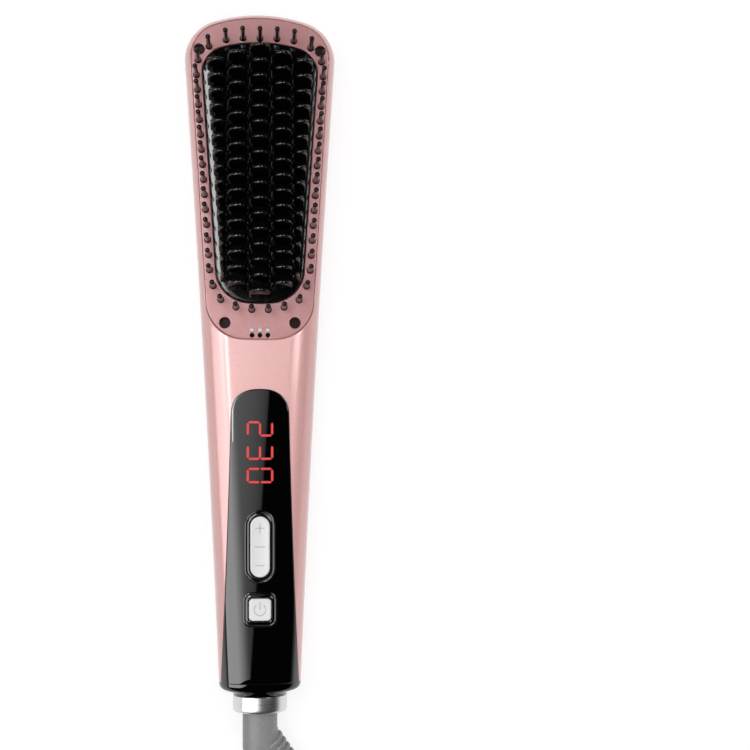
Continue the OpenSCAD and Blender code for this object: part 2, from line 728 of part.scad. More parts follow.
module power_button() {
    color([0.95, 0.95, 0.95])
        translate([0, power_y, 0]) {
            translate([0, 0, bezel_low_z - seat - 0.01])
                linear_extrude(height = button_z - bezel_low_z + seat - 0.4 + 0.01)
                    round_square(power_w, power_w, 1.5);
            translate([0, 0, button_z - 0.41])
                linear_extrude(height = 0.41)
                    round_square(power_w - 0.8, power_w - 0.8, 1.2);
            translate([0, 0, power_foot_z + 0.2])
                linear_extrude(height = bezel_low_z - seat - power_foot_z - 0.2)
                    round_square(power_w + 1.8, power_w + 1.8, 1.8);
            post(0, 0, power_foot_z, bezel_low_z, 1.6);
        }
}
module tact_switches() {
    color([0.2, 0.2, 0.22])
        for (y = [power_y, rocker_y - rocker_foot_y, rocker_y + rocker_foot_y]) {
            translate([0, y, switch_z + (plunger_z - switch_z - 0.8) / 2])
                cube([6, 6, plunger_z - switch_z - 0.8], center = true);
            post(0, y, switch_z + 0.5, plunger_z, plunger_r);
        }
}
module circuit_board() {
    color([0.05, 0.35, 0.15])
        difference() {
            block([-board_half, board_low_y, board_z], [board_half, board_top_y, board_z + board_t]);
            for (p = board_screws_at)
                post(p.x, p.y, board_z - 1, board_z + board_t + 1, screw_hole_r - 0.2);
        }
}
module board_components() {
    y0 = panel_top_y - 50;
    color([0.15, 0.25, 0.5]) {
        translate([-7, y0 - 2, board_z - 3.5])
            rotate([90, 0, 0])
                cylinder(r = 3.5, h = 12);
        block([1, y0 - 14, board_z - 5], [9, y0 - 2, board_z]);
        block([-4, y0 + 8, board_z - 4], [6, y0 + 18, board_z]);
    }
}
module board_screws() {
    color([0.7, 0.7, 0.72])
        for (p = board_screws_at) {
            post(p.x, p.y, board_z + board_t, board_z + board_t + 1.2, 1.8);
            post(p.x, p.y, board_z - 5, board_z + board_t + 0.1, 0.8);
        }
}
module case_screws() {
    color([0.25, 0.25, 0.26])
        for (p = case_screws_at)
            screw(p.x, p.y, cover_z + 2.4, 2, 2.3, 11, true);
}

// ---------------------------------------------------------------- wires
wire_r = 0.7;
wire_z = board_z - wire_r - 0.1;
module wire_pair(line) {
    color([0.75, 0.1, 0.1])
        tube(smooth(line, 3), wire_r, 6);
    color([0.1, 0.2, 0.7])
        tube(smooth([for (p = line) [-p.x, p.y, p.z]], 3), wire_r, 6);
}
module heater_wires() {
    wire_pair([
        [5, board_top_y - 8, wire_z], [5.4, board_top_y - 1, wire_z],
        [ion_half + 1, board_top_y + 3, board_z - 2.5], [ion_half + 1.6, board_top_y + 8, 8],
        [ion_half + 1.6, frame_foot_y + 5, 8], [8, plate_foot_y - 3, 9.5], [6, element_low_y - 4, bracket_z - 1.2],
        [5, element_low_y + 4, bracket_z - wire_r]
    ]);
}
module mains_wires() {
    wire_pair([
        [5, board_low_y + 9, wire_z], [5.3, board_low_y + 1, wire_z],
        [6, board_low_y - 2.5, board_z - 3.4], [7, contact_end_y + 2.6, floor_z + 2], [7.2, contact_end_y + seat, floor_z + 0.9]
    ]);
}

// ---------------------------------------------------------------- tail
spigot_r = 8;
spigot_len = 6;
neck_r = 10.9;
// Steps down the tail cap as [share of its length, share of the way from the body's section to the neck]
cap_steps = [[0, 0], [0.26, 0.02], [0.42, 0.08], [0.54, 0.17], [0.63, 0.36], [0.72, 0.6], [0.82, 0.82], [0.91, 0.95], [1, 1]];
// The body's section at the tail, as [x, z] from its middle, drawn in by a little
cap_in = 0.3;
cap_low_half = cover_tail_half + 0.25 - cap_in;
cap_up = [for (k = [0 : EDGE_N])
    [tail_half - cap_in - front_round * edge_in(k), (front_z - axis_z - cap_in) * edge_up(k)]];
cap_down = [for (k = [0 : EDGE_N])
    [lerp(tail_half - cap_in, cap_low_half, edge_in(k)), (cap_in + 0.3 - axis_z) * edge_up(k)]];
cap_top = concat(cap_up, [[0, front_z - axis_z - cap_in]], reversed([for (p = cap_up) [-p.x, p.y]]));
cap_base = concat(
    rest_of([for (p = cap_down) [-p.x, p.y]]),
    [for (t = [-3 : 3]) [cap_low_half * t / 4, cap_in + 0.3 - axis_z]],
    reversed(rest_of(cap_down)));
cap_section = concat(cap_top, cap_base);
function cap_ring(s) = [for (p = cap_section) let (q = lerp(p, neck_r * unit(p), s[1]))
    [-q.x, tail_y - s[0] * cap_len, axis_z + q.y]];
module tail_cap() {
    color([0.03, 0.03, 0.035])
        difference() {
            union() {
                skin([for (s = cap_steps) cap_ring(s)]);
                along_y(tail_y - 1, tail_y + spigot_len, spigot_r);
                along_y(collar_y + 1.2, cap_y + 1, collar_r - 1.5);
            }
            along_y(cap_y, tail_y + spigot_len + 1, journal_r + 0.06);
            along_y(collar_y - 1, cap_y, boot_r + 0.4);
        }
}
module collar_ring() {
    color([0.78, 0.78, 0.8])
        translate([0, cap_y, axis_z])
            rotate([90, 0, 0])
                rotate_extrude()
                    difference() {
                        union() {
                            square([collar_r, collar_len - 1]);
                            square([collar_r - 1, collar_len]);
                            translate([collar_r - 1, collar_len - 1])
                                circle(r = 1);
                        }
                        translate([-1, -1])
                            square([collar_r - 1.4 + 1, collar_len - 1.1 + 1]);
                        translate([-1, -1])
                            square([boot_r + 0.35 + 1, collar_len + 2]);
                    }
}
sleeve_back_y = tail_y + spigot_len + seat;
module swivel_sleeve() {
    color([0.85, 0.85, 0.8])
        difference() {
            union() {
                along_y(cap_y - seat, sleeve_back_y + 8, journal_r);
                along_y(sleeve_back_y, sleeve_back_y + 1.6, journal_r + 1.4);
            }
            along_y(cap_y - seat - 1, sleeve_back_y + 9, cord_d / 2 + 0.3);
        }
}
ring_t = 0.5;
module slip_rings() {
    color([0.85, 0.65, 0.3])
        for (k = [0, 1])
            difference() {
                along_y(sleeve_back_y + 2.4 + 2.8 * k, sleeve_back_y + 4.2 + 2.8 * k, journal_r + ring_t);
                along_y(sleeve_back_y + 2, sleeve_back_y + 8, journal_r);
            }
}
// Leaf contacts that stand on the back shell's floor beside the slip rings
contact_end_y = sleeve_back_y + 7.5;
module contact_springs() {
    color([0.85, 0.65, 0.3])
        for (k = [0, 1])
            mirror([1 - k, 0, 0])
                translate([journal_r + ring_t + 0.1, 0, 0]) {
                    y = sleeve_back_y + 2.5 + 2.8 * k;
                    block([0, y, floor_z + 0.6], [0.6, y + 1.6, axis_z + 2]);
                    block([0, y - 0.6, floor_z], [1.2, contact_end_y, floor_z + 0.61]);
                }
}

// The strain relief: a straight stub out of the collar, and a ribbed taper that bends out of its side
boot_lead = 6.3;
boot_bend_r = 8;
boot_tilt = 15;
boot_end_r = cord_d / 2 + 1.4;
boot_in_r = boot_r - 0.3;
stub_len = collar_len + 17.3;
stub_round = 2.6;
boot_side = [cos(boot_tilt), 0, -sin(boot_tilt)];
boot_dir = [sin(boot_bend) * cos(boot_tilt), -cos(boot_bend), -sin(boot_bend) * sin(boot_tilt)];
boot_bend_at = [0, collar_y - boot_lead, axis_z];
boot_taper_at = boot_bend_at + boot_bend_r * ((1 - cos(boot_bend)) * boot_side + sin(boot_bend) * [0, -1, 0]);
boot_end = boot_taper_at + boot_taper_len * boot_dir;
rib_count = 7;
rib_h = 0.8;
// The taper's rings as [distance along it, radius], two rings up and two down for each rib
boot_rings = concat(
    [[0.6, boot_in_r], [0.9, boot_in_r - rib_h]],
    [for (i = [0 : rib_count - 1])
        let (d = 2.2 + i * (boot_taper_len - 3.4) / rib_count, r = lerp(boot_in_r, boot_end_r + rib_h, i / rib_count))
        each [[d, r - rib_h], [d + 0.3, r], [d + 1.5, r], [d + 1.8, r - rib_h]]],
    [[boot_taper_len, boot_end_r]]);
BEND_N = 6;
module strain_relief() {
    bend = [for (i = [1 : BEND_N]) let (a = boot_bend * i / BEND_N)
        boot_bend_at + boot_bend_r * ((1 - cos(a)) * boot_side + sin(a) * [0, -1, 0])];
    color([0.2, 0.2, 0.21])
        union() {
            translate([0, cap_y - seat, axis_z])
                rotate([90, 0, 0])
                    rotate_extrude() {
                        square([boot_r, stub_len - stub_round]);
                        square([boot_r - stub_round, stub_len]);
                        intersection() {
                            translate([boot_r - stub_round, stub_len - stub_round])
                                circle(r = stub_round);
                            square([boot_r + 1, stub_len + 1]);
                        }
                    }
            tube(
                concat([boot_bend_at + [0, 3, 0], boot_bend_at], bend, [for (b = boot_rings) boot_taper_at + b[0] * boot_dir]),
                concat([for (i = [0 : BEND_N + 1]) boot_in_r], [for (b = boot_rings) b[1]]), 18);
        }
}

// ---------------------------------------------------------------- cord
hank_x = 0;
hank_fold = 18;
hank_turns = 2.5;
hank_out = hank_fold + hank_turns * hank_step;
hank_low_z = 4;
hank_top_y = collar_y - 80;
hank_foot_y = hank_top_y - hank_run;
RINGS = 24;
quarter = RINGS / 4;
reverse_at = hank_turns * RINGS;
hank_rings = reverse_at * 2;
// Radius of the loop and height of its layer at ring j: in, up along a run, and out again
function loop_r(j) = j < reverse_at
    ? hank_out - hank_step * j / RINGS
    : hank_fold + hank_step * max(0, j - reverse_at - quarter) / RINGS;
function loop_z(j) = hank_low_z + hank_layer * clip((j - reverse_at) / quarter, 0, 1);
function drawn_in(u) = hank_waist * (1 - cos(360 * u)) / 2;
function hank_point(j) =
    let (q = j - RINGS * floor(j / RINGS), r = loop_r(j), z = loop_z(j), k = floor(q / quarter), u = q / quarter - k)
    k == 0 ? [hank_x + r - drawn_in(u), lerp(hank_top_y, hank_foot_y, u), z]
    : k == 1 ? [hank_x + r * cos(90 * 2 * u), hank_foot_y - r * sin(180 * u), z]
    : k == 2 ? [hank_x - r + drawn_in(u), lerp(hank_foot_y, hank_top_y, u), z]
    : [hank_x - r * cos(180 * u), hank_top_y + r * sin(180 * u), z];
hank_line = [for (j = [0 : hank_rings]) hank_point(j)];
hank_fine = [for (j = [0 : 0.5 : hank_rings]) hank_point(j)];
least_gap = min([for (i = [0 : len(hank_fine) - 1], k = [i + 12 : 1 : len(hank_fine) - 1])
    norm(hank_fine[i] - hank_fine[k])]) - cord_d;
echo(least_gap_of_the_hank_to_itself = least_gap);
// Both ends run straight for one diameter
hank_start = hank_line[0] + [0, cord_d, 0];
hank_end = hank_line[hank_rings] - [0, cord_d, 0];
join = 0.03;

// The route from the strain relief to the hank, after its straight start
cord_route = [
    [24, -189.5, 5.8], [28, -196.5, 5], [31.6, -203, 4.5], [34.6, -208.5, 4.2]
];
module power_cord() {
    color([0.1, 0.1, 0.105])
        tube(concat(
            [boot_end + join * boot_dir],
            smooth(concat([boot_end + cord_d * boot_dir], cord_route, [hank_start + [0, cord_d, 0]]), 2),
            [hank_start + [0, join, 0]]), cord_d / 2, 10);
}
module cord_hank() {
    color([0.1, 0.1, 0.105])
        tube(concat([hank_start], hank_line, [hank_end]), cord_d / 2, 6);
}
// The route from the hank, over its far end, to the plug that lies on it
plug_route = [
    [31, -241, 11.6], [24, -255, 13], [20.6, -270, 14], [24.5, -285, 15.1], [32, -300, 16.2],
    [35.4, -314, 17.2], [35.4, -328, 17.6], [32, -338, 18], [25, -344, 18.4], [17, -345.5, 18.9],
    [9, -343, 19.5], [3, -337, 20.2]
];
plug_t = 13.7;
plug_z = hank_low_z + hank_layer + cord_d / 2 + seat + plug_t / 2;
plug_low_y = hank_foot_y + 3;
plug_boot_len = 12;
plug_entry = [hank_x, plug_low_y - plug_boot_len, plug_z];
module plug_lead() {
    color([0.1, 0.1, 0.105])
        tube(concat(
            [hank_end - [0, join, 0]],
            smooth(concat([hank_end - [0, cord_d, 0]], plug_route, [plug_entry - [0, cord_d, 0]]), 2),
            [plug_entry - [0, join, 0]]), cord_d / 2, 10);
}
tie_t = 0.8;
tie_w = 10;
// Where the outermost runs lie at the tie's edges
tie_right = hank_out - hank_step / 8 - hank_waist + 0.7;
tie_left = hank_out - hank_step * 5 / 8 - hank_waist + 0.9;
module tie_shape(grow) {
    hull() {
        translate([-tie_left, hank_low_z + 0.1])
            circle(r = cord_d / 2 + 0.15 + grow);
        translate([tie_right, hank_low_z + 0.1])
            circle(r = cord_d / 2 + 0.15 + grow);
        translate([tie_right - 0.2, 14.6])
            circle(r = cord_d / 2 + 0.2 + grow);
        translate([-tie_left, hank_low_z + hank_layer])
            circle(r = cord_d / 2 + 0.4 + grow);
    }
}
module hank_tie() {
    color([0.08, 0.08, 0.08])
        translate([hank_x, (hank_top_y + hank_foot_y) / 2 + tie_w / 2, 0])
            rotate([90, 0, 0])
                linear_extrude(height = tie_w)
                    difference() {
                        tie_shape(tie_t);
                        tie_shape(0);
                    }
}
pin_gap = 19;
pin_r = 2;
pin_len = 19;
module plug_body() {
    color([0.08, 0.08, 0.085]) {
        translate([hank_x, plug_low_y, plug_z - plug_t / 2])
            linear_extrude(height = plug_t)
                polygon([
                    [-7, 0], [7, 0], [11, 6], [14, 16], [plug_w / 2, 22], [plug_w / 2, plug_len - 2],
                    [plug_w / 2 - 2, plug_len], [2 - plug_w / 2, plug_len], [-plug_w / 2, plug_len - 2],
                    [-plug_w / 2, 22], [-14, 16], [-11, 6]
                ]);
        translate([hank_x, plug_low_y + 1, plug_z])
            rotate([90, 0, 0])
                cylinder(r1 = 5.6, r2 = cord_d / 2 + 0.8, h = plug_boot_len + 1);
    }
}
module plug_pins() {
    color([0.8, 0.78, 0.7])
        for (s = [-1, 1])
            translate([hank_x + s * pin_gap / 2, plug_low_y + plug_len + pin_len, plug_z])
                rotate([90, 0, 0]) {
                    translate([0, 0, 0.8])
                        cylinder(r = pin_r, h = pin_len - 0.8);
                    cylinder(r1 = pin_r - 0.7, r2 = pin_r, h = 0.81);
                }
}

front_shell();
back_shell();
back_cover();
face_frame();
guard_bristles();
heater_plate();
heating_teeth();
heating_element();
mica_sheet();
heater_bracket();
thermistor();
thermal_fuse();
face_screws();
outlet_nozzles();
ion_generator();
control_panel();
display_digits();
display_module();
rocker_bezel();
power_bezel();
temperature_rocker();
rocker_pin();
power_button();
tact_switches();
circuit_board();
board_components();
board_screws();
case_screws();
heater_wires();
mains_wires();
tail_cap();
collar_ring();
swivel_sleeve();
slip_rings();
contact_springs();
strain_relief();
power_cord();
cord_hank();
hank_tie();
plug_lead();
plug_body();
plug_pins();
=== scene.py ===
"""A heated hair straightening brush on a white floor, dressed over its CAD frame."""
import json
import math

import bmesh
import bpy
from mathutils import Matrix, Vector


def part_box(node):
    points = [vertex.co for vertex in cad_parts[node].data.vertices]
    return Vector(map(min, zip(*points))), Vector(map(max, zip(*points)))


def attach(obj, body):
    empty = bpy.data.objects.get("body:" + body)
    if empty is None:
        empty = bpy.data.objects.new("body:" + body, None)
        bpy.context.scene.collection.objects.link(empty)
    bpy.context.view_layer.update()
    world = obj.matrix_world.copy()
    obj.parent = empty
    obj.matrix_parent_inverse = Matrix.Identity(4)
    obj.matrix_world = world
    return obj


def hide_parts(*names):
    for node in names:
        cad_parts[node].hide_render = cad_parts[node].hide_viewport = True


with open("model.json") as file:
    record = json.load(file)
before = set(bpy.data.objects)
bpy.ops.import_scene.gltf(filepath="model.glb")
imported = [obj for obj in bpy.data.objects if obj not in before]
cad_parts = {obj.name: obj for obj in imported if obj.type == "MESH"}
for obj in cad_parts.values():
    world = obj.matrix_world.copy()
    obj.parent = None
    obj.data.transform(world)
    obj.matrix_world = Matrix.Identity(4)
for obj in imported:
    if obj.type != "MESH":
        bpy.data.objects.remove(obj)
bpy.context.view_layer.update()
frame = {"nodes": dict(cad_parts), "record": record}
MM = 0.001
SLOT_OF = {row["node"]: row["material_slot"] for row in frame["record"]["subparts"]}

# Sizes in millimetres, as in the part's source
SHELL_LEN, HEAD_HALF, TAIL_HALF, SIDE_BOW = 278.6, 31.6, 17, 0.85
CORNER_R, CROWN_R, SEAM_Z, FRONT_Z, FRONT_ROUND, EDGE_POWER, WALL = 17.2, 64, 12, 24, 12, 2.2, 2
COVER_CORNER_R, COVER_CROWN_R, FRAME_FOOT_R, FRAME_FOOT_CROWN_R = 9, 75, 16, 200
PLATE_R, PLATE_CROWN_R, PLATE_FOOT_R = 11, 60, 14
COVER_T, COVER_HEAD_HALF, COVER_TAIL_HALF, COVER_RIM = 1.7, 22.9, 15.4, 6.1
FRAME_Z, FRAME_T, LIP_W, FRAME_LEN, FRAME_FOOT_HALF = 20.3, 2, 2.8, 137.7, 22.4
PLATE_PROUD, TOOTH_H, TOOTH_T, TOOTH_TIP_T, TOOTH_W = 0.9, 11.5, 4.6, 1.6, 8.5
BRISTLE_H, BRISTLE_R, BRISTLE_BASE_R = 15.8, 0.95, 1.6
FRAME_TOP_W, FRAME_FOOT_W, FRAME_SIDE_W, FRAME_LOW_SIDE_W = 10.6, 15.4, 5, 4.2
PANEL_T, PANEL_PROUD, PANEL_GAP, PANEL_TOP_HALF, PANEL_TAIL_HALF = 1.6, 0.15, 20.5, 11.9, 15.9
DIGIT_DROP, ROCKER_DROP, POWER_DROP = 16.3, 64.5, 25.5
DIGIT_H, DIGIT_W, DIGIT_PITCH = 10.9, 6.4, 9.55
ROCKER_LEN, ROCKER_W, POWER_W, BUTTON_PROUD, BEZEL_W = 24.8, 8, 9, 0.9, 2.1
CAP_LEN, COLLAR_LEN, COLLAR_R, BOOT_R, BOOT_TAPER, BOOT_BEND = 5.4, 7, 11.2, 7.2, 24, 39
CORD_D = 6
TIP_Y = (SHELL_LEN + CAP_LEN + COLLAR_LEN) / 2
TAIL_Y = TIP_Y - SHELL_LEN
CAP_Y = TAIL_Y - CAP_LEN
COLLAR_Y = CAP_Y - COLLAR_LEN
FRAME_FOOT_Y = TIP_Y - FRAME_LEN
PLATE_TIP_Y = TIP_Y - LIP_W - FRAME_TOP_W
PLATE_FOOT_Y = FRAME_FOOT_Y + FRAME_FOOT_W
PLATE_TOP_HALF, PLATE_FOOT_HALF = HEAD_HALF - LIP_W - FRAME_SIDE_W, FRAME_FOOT_HALF - FRAME_LOW_SIDE_W
PANEL_TOP_Y = FRAME_FOOT_Y - PANEL_GAP
ROCKER_Y = PANEL_TOP_Y - ROCKER_DROP
POWER_Y = ROCKER_Y - POWER_DROP
DIGIT_Y = PANEL_TOP_Y - DIGIT_DROP
PANEL_Z = FRONT_Z + PANEL_PROUD
PLATE_Z = FRAME_Z + PLATE_PROUD
PLATE_LOW_Z = FRAME_Z - FRAME_T - 1.1
BUTTON_Z = PANEL_Z + BUTTON_PROUD
BEZEL_LOW_Z = 19.4
SHARP_ANGLE = 32


def placed(name, data):
    """An object of the scene that holds a mesh, a curve, a lamp or the camera"""
    obj = bpy.data.objects.new(name, data)
    bpy.context.scene.collection.objects.link(obj)
    return obj


# ---------------------------------------------------------------- camera
def add_camera():
    at, aim = Vector((0, -32.15, 612)), Vector((48.372, -6.376, 12))
    roll = -0.0034489
    f = (aim - at).normalized()
    r = f.cross(Vector((0, 1, 0))).normalized()
    u = r.cross(f)
    right = math.cos(roll) * r + math.sin(roll) * u
    up = -math.sin(roll) * r + math.cos(roll) * u
    data = bpy.data.cameras.new("camera")
    data.lens, data.sensor_width = 68.532, 36
    data.clip_start, data.clip_end = 0.02, 20
    cam = placed("camera", data)
    cam.matrix_world = Matrix.Translation(at * MM) @ Matrix((right, up, -f)).transposed().to_4x4()
    bpy.context.scene.camera = cam


add_camera()


# ---------------------------------------------------------------- materials
def node(tree, kind, **values):
    n = tree.nodes.new(kind)
    for key, value in values.items():
        if hasattr(n, key):
            setattr(n, key, value)
        else:
            n.inputs[key].default_value = value
    return n


def mixed(tree, fac, a, b):
    n = node(tree, "ShaderNodeMix", data_type="RGBA")
    tree.links.new(fac, n.inputs[0])
    n.inputs[6].default_value, n.inputs[7].default_value = (*a, 1), (*b, 1)
    return n.outputs[2]


def noise(tree, at, scale, detail=2, stretch=(1, 1, 1)):
    mapping = node(tree, "ShaderNodeMapping")
    mapping.inputs["Scale"].default_value = stretch
    tree.links.new(at, mapping.inputs["Vector"])
    n = node(tree, "ShaderNodeTexNoise", Scale=scale, Detail=detail)
    tree.links.new(mapping.outputs[0], n.inputs["Vector"])
    return n.outputs["Fac"]


def ramp(tree, value, low, high, to_low=0.0, to_high=1.0):
    n = node(tree, "ShaderNodeMapRange")
    for name, v in (("From Min", low), ("From Max", high), ("To Min", to_low), ("To Max", to_high)):
        n.inputs[name].default_value = v
    tree.links.new(value, n.inputs["Value"])
    return n.outputs[0]


MATERIALS = {}


def finish(name, color, dark, rough, grain, wide, stretch=(1, 1, 1), bump=0.0, bump_scale=1500, **sockets):
    """A material whose colour and roughness vary at two scales, with a fine bump"""
    m = MATERIALS[name] = bpy.data.materials.new(name)
    m.use_nodes = True
    t = m.node_tree
    shader = t.nodes["Principled BSDF"]
    at = node(t, "ShaderNodeTexCoord").outputs["Object"]
    fine = noise(t, at, grain, 3, stretch)
    broad = noise(t, at, wide)
    both = node(t, "ShaderNodeMath", operation="ADD")
    t.links.new(ramp(t, fine, 0.3, 0.7, 0, 0.6), both.inputs[0])
    t.links.new(ramp(t, broad, 0.35, 0.65, 0, 0.4), both.inputs[1])
    t.links.new(mixed(t, both.outputs[0], dark, color), shader.inputs["Base Color"])
    t.links.new(ramp(t, fine, 0.3, 0.7, *rough), shader.inputs["Roughness"])
    if bump:
        b = node(t, "ShaderNodeBump", Strength=1.0, Distance=bump * MM)
        t.links.new(noise(t, at, bump_scale, 2, stretch), b.inputs["Height"])
        t.links.new(b.outputs[0], shader.inputs["Normal"])
    for key, value in sockets.items():
        shader.inputs[key.replace("_", " ")].default_value = value


finish("rose_shell", (0.83, 0.46, 0.445), (0.79, 0.43, 0.415), (0.27, 0.33), 1400, 30,
       bump=0.002, bump_scale=2200, Coat_Weight=0.8, Coat_Roughness=0.1, Metallic=0.1)
# The face frame's rose is darker than the shell's: partly its own satin finish, partly painted shade of the
# bristles and teeth standing over it
finish("rose_frame", (0.54, 0.25, 0.25), (0.48, 0.21, 0.215), (0.3, 0.36), 1400, 30,
       bump=0.004, bump_scale=2200, Coat_Weight=0.4, Coat_Roughness=0.2, Metallic=0.12)
finish("black_gloss", (0.0015, 0.0015, 0.0017), (0.0008, 0.0008, 0.0008), (0.01, 0.02), 700, 20, IOR=1.75)
finish("black_ceramic", (0.003, 0.003, 0.003), (0.0015, 0.0015, 0.0015), (0.06, 0.1), 900, 40,
       bump=0.0015, IOR=1.5)
finish("bristle_brown", (0.018, 0.007, 0.006), (0.01, 0.004, 0.0035), (0.14, 0.2), 800, 60,
       bump=0.002, Specular_IOR_Level=0.22)
finish("white_plastic", (0.86, 0.86, 0.86), (0.82, 0.82, 0.82), (0.28, 0.36), 900, 60, bump=0.003)
# Painted shade: the raised marks are the buttons' white plastic, and this grey stands in for their shading
finish("mark_grey", (0.62, 0.62, 0.62), (0.57, 0.57, 0.57), (0.3, 0.38), 900, 60, bump=0.003)
finish("red_digits", (0.55, 0.012, 0.012), (0.5, 0.01, 0.01), (0.3, 0.4), 1200, 80,
       Emission_Color=(0.85, 0.02, 0.02, 1), Emission_Strength=0.3)
finish("silver_metal", (0.72, 0.72, 0.73), (0.64, 0.64, 0.65), (0.26, 0.34), 300, 20,
       stretch=(0.04, 16, 0.04), bump=0.003, bump_scale=300, Metallic=1.0)
# Painted shade: the screws are near black to stand in for the shade down in their deep holes
finish("screw_steel", (0.03, 0.02, 0.018), (0.014, 0.009, 0.008), (0.4, 0.55), 900, 60, bump=0.01, Metallic=0.9)
finish("contact_brass", (0.78, 0.58, 0.28), (0.66, 0.47, 0.2), (0.25, 0.35), 900, 50, bump=0.005, Metallic=1.0)
finish("heater_aluminium", (0.7, 0.71, 0.73), (0.58, 0.59, 0.6), (0.35, 0.45), 400, 30,
       stretch=(8, 1, 1), bump=0.01, Metallic=1.0)
finish("mica", (0.55, 0.46, 0.3), (0.42, 0.34, 0.2), (0.5, 0.65), 500, 60, bump=0.02, bump_scale=500)
finish("board_green", (0.02, 0.2, 0.07), (0.012, 0.14, 0.05), (0.3, 0.4), 900, 60, bump=0.005)
finish("dark_plastic", (0.05, 0.05, 0.055), (0.035, 0.035, 0.038), (0.4, 0.5), 900, 50, bump=0.01)
finish("boot_rubber", (0.3, 0.3, 0.302), (0.25, 0.25, 0.252), (0.36, 0.44), 800, 60, bump=0.006, bump_scale=900)
finish("cord_rubber", (0.03, 0.03, 0.031), (0.02, 0.02, 0.021), (0.42, 0.55), 800, 60,
       bump=0.012, bump_scale=900)
finish("wire_red", (0.5, 0.04, 0.03), (0.4, 0.03, 0.02), (0.35, 0.45), 900, 60, bump=0.004)


# ---------------------------------------------------------------- mesh helpers
def piece(name, verts, faces, slot, replaces=(), body="handle", angle=SHARP_ANGLE, look=None):
    """A mesh object from points in millimetres, riding on a CAD body in place of CAD nodes"""
    mesh = bpy.data.meshes.new(name)
    mesh.from_pydata([tuple(c * MM for c in v) for v in verts], [], faces)
    bm = bmesh.new()
    bm.from_mesh(mesh)
    bmesh.ops.remove_doubles(bm, verts=bm.verts, dist=1e-7)
    bmesh.ops.recalc_face_normals(bm, faces=bm.faces)
    bm.to_mesh(mesh)
    bm.free()
    obj = placed(name, mesh)
    shade(obj, angle)
    mesh.materials.append(MATERIALS[look or slot])
    if body:
        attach(obj, body)
    if replaces:
        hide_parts(*replaces)
    return obj


def shade(obj, angle):
    mesh = obj.data
    mesh.shade_smooth()
    mesh.set_sharp_from_angle(angle=math.radians(angle))


def cut(obj, verts, faces):
    """Takes a closed form away from a piece"""
    tool = piece(obj.name + "_tool", verts, faces, "dark_plastic", body=None)
    m = obj.modifiers.new("cut", "BOOLEAN")
    m.operation, m.solver, m.object = "DIFFERENCE", "EXACT", tool
    dg = bpy.context.evaluated_depsgraph_get()
    mesh = bpy.data.meshes.new_from_object(obj.evaluated_get(dg))
    obj.modifiers.clear()
    obj.data = mesh
    bpy.data.objects.remove(tool)
    while len(mesh.materials) > 1:
        mesh.materials.pop()
    shade(obj, SHARP_ANGLE)


def smoothed(obj):
    m = obj.modifiers.new("normals", "WEIGHTED_NORMAL")
    m.keep_sharp = True


def rings_mesh(rings, closed=False, ends=True):
    """Points and faces of a skin through rings of equal count"""
    n, verts, faces = len(rings[0]), [v for r in rings for v in r], []
    last = len(rings) - (0 if closed else 1)
    for k in range(last):
        a, b = k * n, (k + 1) % len(rings) * n
        faces += [(a + i, a + (i + 1) % n, b + (i + 1) % n, b + i) for i in range(n)]
    if not closed and ends:
        faces += [tuple(range(n))[::-1], tuple((len(rings) - 1) * n + i for i in range(n))]
    return verts, faces


def joined(parts):
    verts, faces = [], []
    for v, f in parts:
        base = len(verts)
        verts += v
        faces += [tuple(base + i for i in face) for face in f]
    return verts, faces


def on_circle(r, k, n):
    """Point k of n round a circle"""
    a = 2 * math.pi * k / n
    return r * math.cos(a), r * math.sin(a)


def lathe(profile, at, axis="z", n=32):
    """A closed turned form from [radius, distance] pairs that start and end on the axis"""
    verts, faces = [], []
    rings = []
    for r, h in profile:
        # A point on the axis is a ring of one
        circle = [on_circle(r, k, n) for k in range(n)] if r > 1e-6 else [(0, 0)]
        rings.append(range(len(verts), len(verts) + len(circle)))
        verts += [(x, y, h) for x, y in circle]
    for a, b in zip(rings, rings[1:]):
        for i in range(n):
            j = (i + 1) % n
            face = [a[i % len(a)], a[j % len(a)], b[j % len(b)], b[i % len(b)]]
            face = [v for k, v in enumerate(face) if v not in face[:k]]
            if len(face) > 2:
                faces.append(tuple(face))
    turn = {"z": lambda p: p, "-y": lambda p: (p[0], -p[2], p[1])}[axis]
    return [tuple(c + d for c, d in zip(turn(v), at)) for v in verts], faces


def outset(line, d):
    """A closed line moved out by d along its normals"""
    n, out = len(line), []
    area = sum(line[i][0] * line[(i + 1) % n][1] - line[(i + 1) % n][0] * line[i][1] for i in range(n))
    s = 1 if area > 0 else -1
    for i in range(n):
        a, p, b = Vector(line[i - 1]), Vector(line[i]), Vector(line[(i + 1) % n])
        e, f = (p - a).normalized(), (b - p).normalized()
        na, nb = Vector((e.y, -e.x)) * s, Vector((f.y, -f.x)) * s
        m = na + nb
        if m.length < 1e-6:
            m = na
        m.normalize()
        out.append(tuple(p + m * d / max(0.5, m.dot(na))))
    return out


def lift(line, z):
    return [(x, y, z(x, y) if callable(z) else z) for x, y in line]


def fillet(r, n=4):
    """Steps of a rounded edge as [in, down], from its wall to its top"""
    turns = [math.pi / 2 * k / n for k in range(n + 1)]
    return [(r * (1 - math.cos(a)), r * (1 - math.sin(a))) for a in turns]


def slab(line, low, high):
    """A closed form between two levels"""
    return rings_mesh([lift(line, z) for z in (low, high)])


# ---------------------------------------------------------------- outlines
def lerp(a, b, t):
    return a + (b - a) * t


def clip(v, low, high):
    return max(low, min(high, v))


def around(cx, cy, r, angles):
    """Points round a centre, at angles in degrees"""
    return [(cx + r * math.cos(math.radians(a)), cy + r * math.sin(math.radians(a))) for a in angles]


def arc(cx, cy, r, a0, a1, n):
    return around(cx, cy, r, [lerp(a0, a1, i / n) for i in range(n + 1)])


def corner_dy(big, small, cx):
    return big - math.sqrt((big - small) ** 2 - cx * cx)


